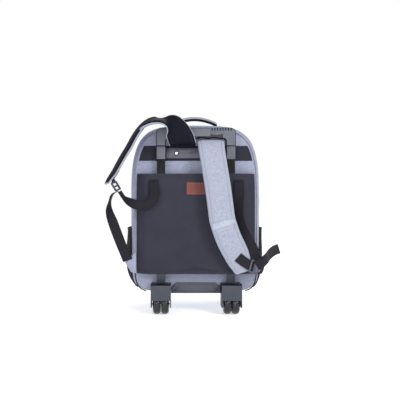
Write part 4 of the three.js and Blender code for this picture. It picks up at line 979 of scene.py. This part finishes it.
def blocks(name, centres, along, across, size):
    """One small eight-cornered block at each centre, size = (along, across, out)"""
    out = np.cross(along, across)
    ends = (-0.5, 0.5)
    corners = [centre + along[i] * a * size[0] + across[i] * b * size[1] + out[i] * c * size[2]
               for i, centre in enumerate(centres) for a in ends for b in ends for c in ends]
    faces = [tuple(8 * i + q for q in quad) for i in range(len(centres)) for quad in BLOCK_FACES]
    mesh = bpy.data.meshes.new(name)
    mesh.from_pydata([tuple(p) for p in placed(corners)], [], faces)
    piece = linked(name, mesh)
    editing(piece, face_out)
    return piece


def zip_round():
    angles = even_angles(BODY_AROUND)

    def place(u, v):
        y = ZIP_START + FIT + v * ZIP_WIDTH
        edge = np.abs(2 * v - 1)
        at = angles[station(u, BODY_AROUND) % BODY_AROUND]
        x, z = bag_point(at, y, -0.7 + 0.9 * edge ** 3)
        return columns(x, y, z)

    flat = (1.1, ZIP_WIDTH * MM)
    tape = surface("zip_cloth", BODY_AROUND, ZIP_ROWS, place, flat, wrap=True)
    editing(tape, face_out)
    dressed(thickened(tape, ZIP_THICKNESS), ["zip_tape"], "webbing", "trim")
    y = ZIP_START + FIT + ZIP_WIDTH / 2
    x, z = bag_point(even_angles(ZIP_TEETH)[:-1], y, -0.8)
    line = columns(x, y, z)
    ahead = unit(np.roll(line, -1, 0) - np.roll(line, 1, 0))
    across = np.tile([0, 1.0, 0], (ZIP_TEETH, 1))
    out = np.cross(ahead, across)
    if (out[0] * line[0]).sum() < 0:
        out = -out
    teeth = blocks("zip_teeth", line + out * 0.25, ahead, across, TOOTH_SIZE)
    applied(teeth, "BEVEL", width=0.25 * MM, segments=1)
    dressed(teeth, [], "webbing", "black plastic and side shade")


# Stitching

STITCH_PITCH = 4.2
STITCH_SIZE = (2.9, 0.6, 0.5)


def stitched(name, line, out, colour):
    """A row of stitches along a line of points; out is one direction or one for each point"""
    line = np.asarray(line, float)
    length = run_of(line)
    count = max(int(length[-1] / STITCH_PITCH), 1)
    at = (np.arange(count) + 0.5) * length[-1] / count
    ahead = unit(read_at(at + 0.6, length, line) - read_at(at - 0.6, length, line))
    up = read_at(at, length, np.broadcast_to(np.asarray(out, float), line.shape))
    across = unit(np.cross(up, ahead))
    piece = blocks(name, read_at(at, length, line), ahead, across, STITCH_SIZE)
    return dressed(piece, [], "webbing" if colour == "dark thread" else "heather", colour)


# Pockets, tabs and carrying loop

POCKETS = {"left": (-1, 12.0), "right": (1, 8.0)}
POCKET_BACK, POCKET_FRONT, POCKET_TOP = 20.0, 118.0, 158.0
POCKET_ROWS, POCKET_COLUMNS = 60, 48
POCKET_MOUTH = 6.5
POCKET_FULLNESS = 0.7
POCKET_GAP = 1.45
POCKET_GATHERS = 15
GATHER_START = 0.8
POCKET_UPS = (0.05, 0.08, 0.12, 0.2, 0.32, 0.48, 0.66, 0.84, 1.0)
POCKET_BULGES = (0.0, 0.05, 0.15, 0.4, 0.75, 1.0, 0.85, 0.35, 0.0)
POCKET_MOUTHS = (0.0, 0.0, 0.0, 0.0, 0.0, 0.0, 0.1, 0.6, 1.0)
HEM_RADIUS, POCKET_EDGE_RADIUS = 2.0, 1.1
WING_STITCH_IN = 2.6
LOOP_HALF_SPAN, LOOP_RISE, LOOP_WIDTH, LOOP_THICKNESS = 60.0, 16.0, 30.0, 9.0
LOOP_ALONG, LOOP_AROUND = 90, 40
LOOP_STITCH_IN = 4
LOOP_ARCH, LOOP_EDGE, LOOP_FACE = 0.8, 0.35, 0.8


def pocket(side):
    """Mesh pocket: full in the middle, gathered into a hem that stands a little off the bag"""
    sign, bulge = POCKETS[side]
    half_height = BAG_MIDDLE - BAG_FLOOR

    def outline_angle(up):
        return -math.asin(((half_height - up * POCKET_TOP) / half_height) ** (FOOT_SQUARENESS / 2))

    angles = even_angles(POCKET_ROWS, outline_angle(POCKET_UPS[0]), outline_angle(1.0))
    ups = half_height * (1 - np.sin(-angles) ** (2 / FOOT_SQUARENESS)) / POCKET_TOP
    reach = bulge * np.interp(ups, POCKET_UPS, POCKET_BULGES)
    reach += POCKET_MOUTH * np.interp(ups, POCKET_UPS, POCKET_MOUTHS)
    relax(reach, 12)

    def place(u, v):
        row = station(v, POCKET_ROWS)
        y = POCKET_BACK + u * (POCKET_FRONT - POCKET_BACK)
        middle = np.maximum(np.sin(math.pi * u), 0)
        near_hem = np.clip((v - GATHER_START) / (1 - GATHER_START), 0, 1)
        gather = 0.5 * np.sin(u * math.pi * POCKET_GATHERS) * near_hem * middle
        soft = 0.8 * np.sin(5 * u + 4 * v) * np.sin(9 * v - 3 * u) * middle * np.sin(math.pi * v)
        lift = reach[row] * middle ** POCKET_FULLNESS + gather + soft
        x, z = bag_point(angles[row], y, -(POCKET_GAP + lift))
        return columns(sign * x, y, z)

    name = f"mesh_pocket_cloth_{side}"
    cloth = surface(name, POCKET_COLUMNS, POCKET_ROWS, place, (0.108, 0.19))
    editing(cloth, face_out)
    dressed(thickened(cloth, 1.0, 0), [f"mesh_pocket_{side}"], "mesh", "net")
    top = place(np.linspace(0.004, 0.996, 60), np.ones(60))
    dressed(cord(f"pocket_hem_{side}", top, HEM_RADIUS), [], "webbing", "trim")
    for end, name in ((0.0, "back"), (1.0, "front")):
        edge = place(np.full(60, end), np.linspace(0.02, 1, 60))
        trim = cord(f"pocket_edge_{name}_{side}", edge, POCKET_EDGE_RADIUS)
        dressed(trim, [], "webbing", "trim")


def wing(side, corners):
    """Triangular tab at the bag's lower corner, stitched inside its outer edges"""
    quad = np.array([(a * HALF_WIDTH, BAG_FLOOR + up * BAG_HEIGHT) for a, up in corners])
    far = PIPING_BACK - 2 * PIPING_RADIUS - FIT - 0.3

    def place(u, v):
        u = u[:, None]
        v = v[:, None]
        inner = (1 - v) * quad[3] + v * quad[0]
        flat = (1 - u) * inner + u * ((1 - v) * quad[2] + v * quad[1])
        puff = np.minimum(np.minimum(u, 1 - u), np.minimum(v, 1 - v))[:, 0]
        y = far - 1.9 - 1.2 * (1 - np.exp(-puff * 14))
        return columns(flat[:, 0], y, flat[:, 1])

    piece = surface(f"corner_tab_{side}", 24, 24, place, (0.03, 0.05))
    banded(piece, 2.0, 0.5, 50)
    dressed(piece, [f"wing_{side}"], "heather", "body cloth")
    middle = quad.mean(0)
    line = []
    for a, b in zip(quad[:2], quad[1:3]):
        for share in np.linspace(0, 1, 12):
            p = a + (b - a) * share
            p = p + (middle - p) / np.linalg.norm(middle - p) * WING_STITCH_IN
            line.append((p[0], far - 4.2, p[1]))
    stitched(f"corner_tab_stitches_{side}", np.array(line), (0, -1, 0), "grey thread")


def loop_foot(share):
    """Height of the carrying loop's underside at a share of its half span"""
    arch = np.maximum(np.cos(share * math.pi / 2), 0) ** LOOP_ARCH
    return top_surface_at(share * LOOP_HALF_SPAN, BAG_DEPTH / 2) + FIT + LOOP_RISE * arch


def carrying_loop():
    y0 = BAG_DEPTH / 2

    def place(u, v):
        share = 2 * v - 1
        angle = 2 * math.pi * u
        wide = LOOP_WIDTH / 2 * squared(np.cos(angle), LOOP_EDGE)
        thick = LOOP_THICKNESS / 2 * squared(np.sin(angle), LOOP_FACE)
        middle = loop_foot(share) + LOOP_THICKNESS / 2
        return columns(share * LOOP_HALF_SPAN, y0 + wide, middle + thick)

    piece = surface("carrying_loop", LOOP_AROUND, LOOP_ALONG, place, (0.07, 0.15), wrap=True)
    closed_round(piece)
    dressed(piece, ["haul_loop"], "heather", "strap cloth", "strap lining")
    faces_to(piece, lambda centre, normal: 0 if normal.z > -0.1 else 1)
    share = 2 * np.linspace(0.03, 0.97, 70) - 1
    top = loop_foot(share) + LOOP_THICKNESS + 0.1
    for side, name in ((-1, "back"), (1, "front")):
        y = y0 + side * (LOOP_WIDTH / 2 - LOOP_STITCH_IN)
        line = columns(share * LOOP_HALF_SPAN, y, top)
        stitched(f"carrying_loop_stitches_{name}", line, (0, 0, 1), "grey thread")


# Cover panel and what is sewn on it

def panel_fold(across, rise):
    """How far the panel's cloth stands out of its plane"""
    hump = np.exp(-((across - 0.1) ** 2) / 0.06) * np.exp(-(rise ** 2) / 0.02)
    wave = 0.35 * (0.5 + 0.5 * np.cos(7 * across + 2 * rise)) * (1 - across ** 2)
    return PANEL_FOLD * (hump + wave * np.sin(math.pi * rise))


def panel_half(z):
    """Half of the panel's width at a height"""
    return side_at(0.0, z) - PANEL_EDGE


def panel_face(x, z):
    """Outer face of the panel's cloth: flat over the tubes, with a tent fold at its foot"""
    rise = (z - PANEL_BOTTOM) / PANEL_HEIGHT
    half = panel_half(z)
    across = x / half
    inward = np.minimum((half - np.abs(x)) / PANEL_SLOPE, 1)
    lift = np.sin(inward * math.pi / 2)
    y = -(FIT + lift * (-PANEL_INNER - FIT))
    full = np.clip((inward - 0.7) / 0.3, 0, 1)
    y -= full * panel_fold(across, rise)
    span = np.clip(1 - np.abs(across - TENT_ACROSS) / TENT_HALF_SPAN, 0, 1)
    ridge = TENT_FOOT + TENT_RISE * span ** TENT_CURVE
    above = np.exp(-np.maximum(rise - ridge, 0) / TENT_FADE)
    below = np.clip(1 - (ridge - rise) / TENT_UNDERCUT, 0, 1)
    hem = 1 - np.exp(-np.maximum(rise, 0) / TENT_HEM)
    y -= TENT_LIFT * full * np.sqrt(span) * above * below * hem
    return y - PANEL_THICKNESS


def cover_panel():
    def place(u, v):
        z = PANEL_BOTTOM + v * PANEL_HEIGHT
        half = panel_half(z)
        x = np.sin(math.pi * (u - 0.5)) * 0.6 * half + (2 * u - 1) * 0.4 * half
        points = columns(x, panel_face(x, z), z)
        hem = np.minimum(np.abs(v * PANEL_HEIGHT), np.abs((1 - v) * PANEL_HEIGHT))
        aside = half - np.abs(x)
        quiet = np.clip(hem / 10, 0.1, 1) * np.clip(aside / 12, 0, 1)
        soft = softness(points, PANEL_SOFTNESS)
        points[:, 1] += (0.5 + soft) * 0.75 * quiet
        points[:, 1] -= 0.55 * np.exp(-((hem - 4) / 3.2) ** 4) * np.clip(aside / 8, 0, 1)
        return points

    piece = surface("cover_panel_cloth", PANEL_COLUMNS, PANEL_ROWS, place, (0.34, 0.25))
    face_back(piece)
    dressed(thickened(piece, 1.2), ["cover_panel"], "nylon", "panel nylon")
    top = PANEL_BOTTOM + PANEL_HEIGHT
    for name, up in (("top", top - PANEL_HEM), ("bottom", PANEL_BOTTOM + PANEL_HEM)):
        half = float(panel_half(up))
        x = np.linspace(PANEL_END_IN - half, half - PANEL_END_IN, 120)
        z = np.full(120, up)
        line = columns(x, panel_face(x, z) - 0.25, z)
        stitched(f"panel_stitches_{name}", line, (0, -1, 0), "dark thread")
    for side, name in ((-1, "left"), (1, "right")):
        z = np.linspace(PANEL_BOTTOM + PANEL_CORNER_IN, top - PANEL_CORNER_IN, 100)
        x = side * (panel_half(z) - PANEL_SIDE_IN)
        line = columns(x, panel_face(x, z) - 0.2, z)
        stitched(f"panel_stitches_{name}", line, (side * 0.6, -0.8, 0), "dark thread")


def on_panel(name, node, finish, x0, up, width, height, thickness, inset):
    """A flat piece of cloth sewn on the panel, with a row of stitches inside its edge"""
    z0 = PANEL_BOTTOM + up * PANEL_HEIGHT

    def place(u, v):
        x = x0 + (u - 0.5) * width
        z = z0 + (v - 0.5) * height
        edge = np.minimum(np.minimum(u, 1 - u) * width, np.minimum(v, 1 - v) * height)
        y = panel_face(x, z) - 0.35 - thickness + 0.35 * np.exp(-edge / 0.7)
        return columns(x, y, z)

    piece = surface(name, 24, 24, place, (width * MM, height * MM))
    face_back(piece)
    dressed(thickened(piece, thickness), [node], finish, finish)
    x = np.array([-1, 1, 1, -1, -1]) * (width / 2 - inset) + x0
    z = np.array([-1, -1, 1, 1, -1]) * (height / 2 - inset) + z0
    turns = list(zip(x, z))
    line = np.concatenate([np.linspace(a, b, 14) for a, b in zip(turns, turns[1:])])
    y = panel_face(line[:, 0], line[:, 1]) - 0.4 - thickness
    line = columns(line[:, 0], y, line[:, 1])
    stitched(f"{name}_stitches", line, (0, -1, 0), "dark thread")


# Straps and webbing

def route_points(rows, shares):
    """Places on a centripetal curve through the rows' places, at shares of its way"""
    points = [np.array((across * HALF_WIDTH, -out * STRAP_REACH, BAG_FLOOR + up * BAG_HEIGHT))
              for across, out, up, *_ in rows]

    def point(share):
        at = (len(points) - 1) * share
        i = min(int(at), len(points) - 2)
        weight = at - i
        p1, p2 = points[i], points[i + 1]
        p0 = points[i - 1] if i > 0 else 2 * points[0] - points[1]
        p3 = points[i + 2] if i + 2 < len(points) else 2 * points[-1] - points[-2]
        gaps = ((p0, p1), (p1, p2), (p2, p3))
        d0, d1, d2 = (max(np.linalg.norm(b - a) ** 0.5, 1e-4) for a, b in gaps)
        t1 = ((p1 - p0) / d0 - (p2 - p0) / (d0 + d1) + (p2 - p1) / d1) * d1
        t2 = ((p2 - p1) / d1 - (p3 - p1) / (d1 + d2) + (p3 - p2) / d2) * d1
        c2 = -3 * p1 + 3 * p2 - 2 * t1 - t2
        c3 = 2 * p1 - 2 * p2 + t1 + t2
        return p1 + t1 * weight + c2 * weight ** 2 + c3 * weight ** 3

    return np.array([point(share) for share in shares])


class Route:
    """Places, directions and sizes along a strap at evenly spaced stations"""

    def __init__(self, rows, width, thickness, count, ease=0):
        self.count = count
        fine = np.linspace(0, 1, 40 * len(rows))
        length = run_of(route_points(rows, fine))
        self.length = length[-1]
        self.rank = np.interp(np.linspace(0, self.length, count + 1), length, fine)
        self.centre = route_points(rows, self.rank)
        ahead = route_points(rows, np.minimum(self.rank + 1e-4, 1))
        self.ahead = unit(ahead - route_points(rows, np.maximum(self.rank - 1e-4, 0)))
        row_at = self.rank * (len(rows) - 1)
        steps = np.arange(len(rows))
        shares = read_at(row_at, steps, [row[4:] or (1, 1) for row in rows])
        self.width = width * shares[:, 0]
        self.thickness = thickness * shares[:, 1]
        side = read_at(row_at, steps, [row[3] for row in rows])
        relax(side, 6)
        self.turn(side)
        if ease:
            self.eased(ease)

    def turn(self, side):
        """Sets the direction across and the one out of the strap's face"""
        self.side = unit(side - (side * self.ahead).sum(1)[:, None] * self.ahead)
        self.face = np.cross(self.ahead, self.side)

    def eased(self, times):
        """Smooths the two edges along the length, so that a turn in the strap has no kink"""
        reach = self.side * self.width[:, None] / 2
        edges = [self.centre - reach, self.centre + reach]
        for edge in edges:
            relax(edge, times)
        self.centre = (edges[0] + edges[1]) / 2
        across = edges[1] - edges[0]
        self.width = np.linalg.norm(across, axis=1)
        self.ahead = unit(np.gradient(self.centre, axis=0))
        self.turn(across)

    def on(self, i, across, out):
        across = self.side[i] * np.asarray(across)[..., None]
        return self.centre[i] + across + self.face[i] * np.asarray(out)[..., None]


def strap(side, rows):
    """Padded strap with piping on its edges and two rows of stitches on each face"""
    route = Route(rows, STRAP_WIDTH, STRAP_THICKNESS, STRAP_STATIONS, STRAP_EASE)

    def place(u, v):
        i = station(v, STRAP_STATIONS)
        angle = 2 * math.pi * u
        half = route.width[i] / 2
        depth = route.thickness[i] / 2
        across = half * squared(np.cos(angle), STRAP_EDGE)
        out = depth * squared(np.sin(angle), STRAP_FACE)
        seam = np.exp(-((half - SEAM_IN - np.abs(across)) / SEAM_REACH) ** 2)
        out *= 1 - SEAM_DEPTH * seam * np.clip(depth / 4, 0, 1)
        base = route.on(i, across, np.zeros(len(across)))
        ease = np.clip(np.minimum(v, 1 - v) * route.length / STRAP_CALM, 0, 1)
        soft = softness(base, STRAP_SOFTNESS)
        lift = soft * ease * np.sign(out) * np.abs(np.sin(angle)) ** 0.3
        return route.on(i, across, out + lift)

    flat = ((2 * STRAP_WIDTH + 14) * MM, route.length * MM)
    name = f"padded_strap_{side}"
    piece = surface(name, STRAP_AROUND, STRAP_STATIONS, place, flat, wrap=True)
    layer = piece.data.uv_layers[0].data
    for face in piece.data.polygons:
        u = sum(layer[k].uv[0] for k in face.loop_indices) / face.loop_total / flat[0] + 0.5
        face.material_index = 0 if math.sin(2 * math.pi * u) > 0 else 1
    closed_round(piece)
    dressed(piece, [f"shoulder_strap_{side}"], "heather", "strap cloth", "strap lining")
    stations = np.arange(2, STRAP_STATIONS - 1)
    half = route.width[stations] / 2
    depth = route.thickness[stations] / 2
    for edge in (-1, 1):
        where = "inner" if edge * (1 if side == "right" else -1) < 0 else "outer"
        line = route.on(stations, edge * (half - 0.2), np.zeros(len(stations)))
        trim = cord(f"strap_piping_{where}_{side}", line, STRAP_PIPING)
        dressed(trim, [], "piping", "pale cord" if side == "left" else "grey cord")
        for face, kind, colour in ((1, "face", "grey thread"), (-1, "lining", "dark thread")):
            line = route.on(stations, edge * (half - SEAM_IN), face * (depth * 0.78 + 0.35))
            name = f"strap_stitches_{where}_{kind}_{side}"
            stitched(name, line, face * route.face[stations], colour)
    return route


def ribbon(name, route, node, wave):
    """Flat webbing along a route, slightly cupped, with soft waves"""
    def place(u, v):
        i = station(v, route.count)
        ease = np.clip(np.minimum(v, 1 - v) * route.length / 30, 0, 1)
        cup = 0.5 * (2 * u - 1) ** 2 * ease
        ripples = wave * np.sin(v * route.length / 17) * ease
        return route.on(i, (u - 0.5) * route.width[i], cup + ripples)

    flat = (WEBBING_WIDTH * MM, route.length * MM)
    piece = banded(surface(name, 12, route.count, place, flat), WEBBING_THICKNESS)
    dressed(piece, [node], "webbing", "webbing")


def all_webbing():
    for node, rows, count, wave in (
        ("panel_webbing_left", PANEL_WEBBING_LEFT, 90, 0.3),
        ("panel_webbing_right", PANEL_WEBBING_RIGHT, 90, 0.3),
        ("lower_webbing_left", LOWER_WEBBING_LEFT, 110, 0.4),
        ("lower_webbing_right", LOWER_WEBBING_RIGHT, 40, 0.0),
        ("strap_tail_right", STRAP_TAIL, 90, 0.3),
    ):
        route = Route(rows, WEBBING_WIDTH, WEBBING_THICKNESS, count)
        ribbon(f"{node}_band", route, node, wave)
    folded_end(route)


def folded_end(route):
    """The tail's end, turned over twice and sewn down"""
    first = route.count - TAIL_HEM

    def place(u, v):
        i = station(first + v * TAIL_HEM, 1)
        return route.on(i, (u - 0.5) * (WEBBING_WIDTH + 0.3), np.full(len(u), -1.7))

    piece = surface("tail_hem", 10, TAIL_HEM, place, (WEBBING_WIDTH * MM, 0.012))
    dressed(banded(piece, 1.5), [], "webbing", "webbing")


def reflective_tape(route):
    """Pale tape across the right strap's outer face"""
    at = np.searchsorted(route.rank, TAPE_AT)
    span = route.length / route.count
    reach = TAPE_HALF / span

    def place(u, v):
        spot = at + (v - 0.5) * 2 * reach
        i = np.clip(np.rint(spot).astype(int), 0, route.count)
        half = route.width[i] / 2 - 3.2
        drop = 0.9 * np.abs(2 * u - 1) ** 8
        point = route.on(i, (2 * u - 1) * half, route.thickness[i] / 2 + 0.55 - 1.6 * drop)
        return point + route.ahead[i] * ((spot - i) * span)[:, None]

    piece = banded(surface("reflective_tape", 40, 8, place, (0.06, 0.013)), 0.5, None)
    dressed(piece, ["reflective_strip"], "reflective", "reflective")


# Hard pieces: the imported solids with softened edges, and new wheels

WHEEL_BORE = 0.0035
WHEEL_HUB = 0.009
HUB_GROOVE = 0.0009
TYRE_ROUND = 0.0075


# Faces that don't face the camera get the second material, black: painted shade on sides and edges
def side_shade_faces(centre, normal):
    return 0 if normal.y < -0.9 else 1


def grip_faces(centre, normal):
    """Pale front face; the sides and what lies deeper, such as the finger grooves, get the black
    material as painted shade
    """
    return 0 if normal.y < -0.9 and centre.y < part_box("grip")[0].y + 0.001 else 1


def softened(node, slot, *materials, edge=0.6, angle=30, body="bag", choose=side_shade_faces):
    """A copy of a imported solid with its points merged, flat faces joined and edges rounded"""
    piece = linked(f"{node}_finished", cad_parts[node].data.copy())
    piece.data.materials.clear()
    flatten = {"angle_limit": math.radians(1.0)}
    editing(piece, merge_points(1e-6), lambda: bpy.ops.mesh.dissolve_limited(**flatten))
    applied(piece, "BEVEL", width=edge * MM, segments=3, limit_method="ANGLE",
            angle_limit=math.radians(angle))
    smooth(piece, 35)
    dressed(piece, [node], slot, *materials, body=body)
    # The second material, black, goes on the faces that choose picks, as painted shade
    if len(materials) > 1:
        faces_to(piece, choose)


def wheel(node):
    """A turned wheel: hub, groove and a tyre with a full round tread"""
    low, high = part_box(node)
    half = (high.x - low.x) / 2
    shoulder = (high.z - low.z) / 2 - TYRE_ROUND
    groove = half - HUB_GROOVE
    edge = [(WHEEL_BORE, half), (WHEEL_HUB - HUB_GROOVE, half), (WHEEL_HUB, groove)]
    edge += [(WHEEL_HUB + HUB_GROOVE, groove), (WHEEL_HUB + 2 * HUB_GROOVE, half - HUB_GROOVE / 3)]
    tread = []
    for turn in np.linspace(-84, 84, 21):
        angle = math.radians(turn)
        tread.append((shoulder + TYRE_ROUND * math.cos(angle) ** 0.8, half * math.sin(angle)))
    profile = [(r, -x) for r, x in edge] + tread + edge[::-1]
    mesh = bpy.data.meshes.new("wheel_profile")
    points = [(x, 0, r) for r, x in profile]
    mesh.from_pydata(points, [(i, (i + 1) % len(points)) for i in range(len(points))], [])
    piece = linked(f"{node}_finished", mesh)
    spin = {"steps": 64, "angle": 2 * math.pi, "center": (0, 0, 0), "axis": (1, 0, 0)}
    editing(piece, lambda: bpy.ops.mesh.spin(**spin),
            lambda: bpy.ops.mesh.select_all(action="SELECT"), merge_points(1e-6), face_out)
    put_points(piece, points_of(piece) + np.array((low + high) / 2))
    dressed(smooth(piece), [node], "tyre", "tyre", body=f"{node}_body")


def hard_pieces():
    # On the grip, plates, collars and housings the black second material is painted shade on sides
    # and edges
    softened("grip", "plastic", "grip", "black plastic and side shade", edge=1.0, angle=40, body="handle",
             choose=grip_faces)
    softened("grip_plate", "plastic", "plate", "black plastic and side shade", edge=0.35, body="handle")
    softened("bracket_plate", "plastic", "bracket", "black plastic and side shade", edge=0.7, angle=50)
    softened("base_plate", "dark_plastic", "base", "black plastic and side shade", edge=0.7,
             choose=lambda centre, normal: 0 if normal.y < -0.6 else 1)
    for side in ("left", "right"):
        softened(f"collar_{side}", "plastic", "collar", "black plastic and side shade", edge=0.7)
        housing = f"wheel_housing_{side}"
        softened(housing, "dark_plastic", "dark plastic", "black plastic and side shade", edge=0.9)
        softened(f"foot_{side}", "dark_plastic", "dark plastic", edge=1.5)
        softened(f"ladder_lock_{side}", "dark_plastic", "buckle", edge=0.7, angle=50)
        softened(f"rivet_{side}", "steel", "steel", edge=0.25, angle=20)
        softened(f"axle_{side}", "steel", "steel", edge=0.3, angle=50)
        softened(f"outer_tube_{side}", "tube", "tube", edge=0.2, angle=60)
        softened(f"end_tab_{side}", "webbing", "trim", edge=0.3, angle=50)
        for stage in ("inner", "middle"):
            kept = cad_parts[f"{stage}_tube_{side}"].data.materials
            kept.clear()
            kept.append(MADE["tube"])
        for place in ("inner", "outer"):
            wheel(f"wheel_{side}_{place}")
    softened("back_band", "webbing", "band", edge=0.4, angle=50)
    softened("zip_slider", "steel", "steel", edge=0.9)
    softened("zip_pull", "reflective", "steel", edge=0.5)


camera()
studio()
floor()
back_body()
front_body()
seam_cords()
zip_round()
pocket("left")
pocket("right")
wing("left", LEFT_WING)
wing("right", RIGHT_WING)
carrying_loop()
cover_panel()
on_panel("label_cloth", "panel_label", "label", 0.0, 0.852, 47.0, 31.0, 0.6, 1.6)
on_panel("patch_left", "anchor_patch_left", "webbing", -106.0, 0.87, 25.0, 34.0, 1.4, 3.0)
on_panel("patch_right", "anchor_patch_right", "webbing", 106.0, 0.87, 25.0, 34.0, 1.4, 3.0)
strap("left", LEFT_STRAP)
reflective_tape(strap("right", RIGHT_STRAP))
all_webbing()
hard_pieces()
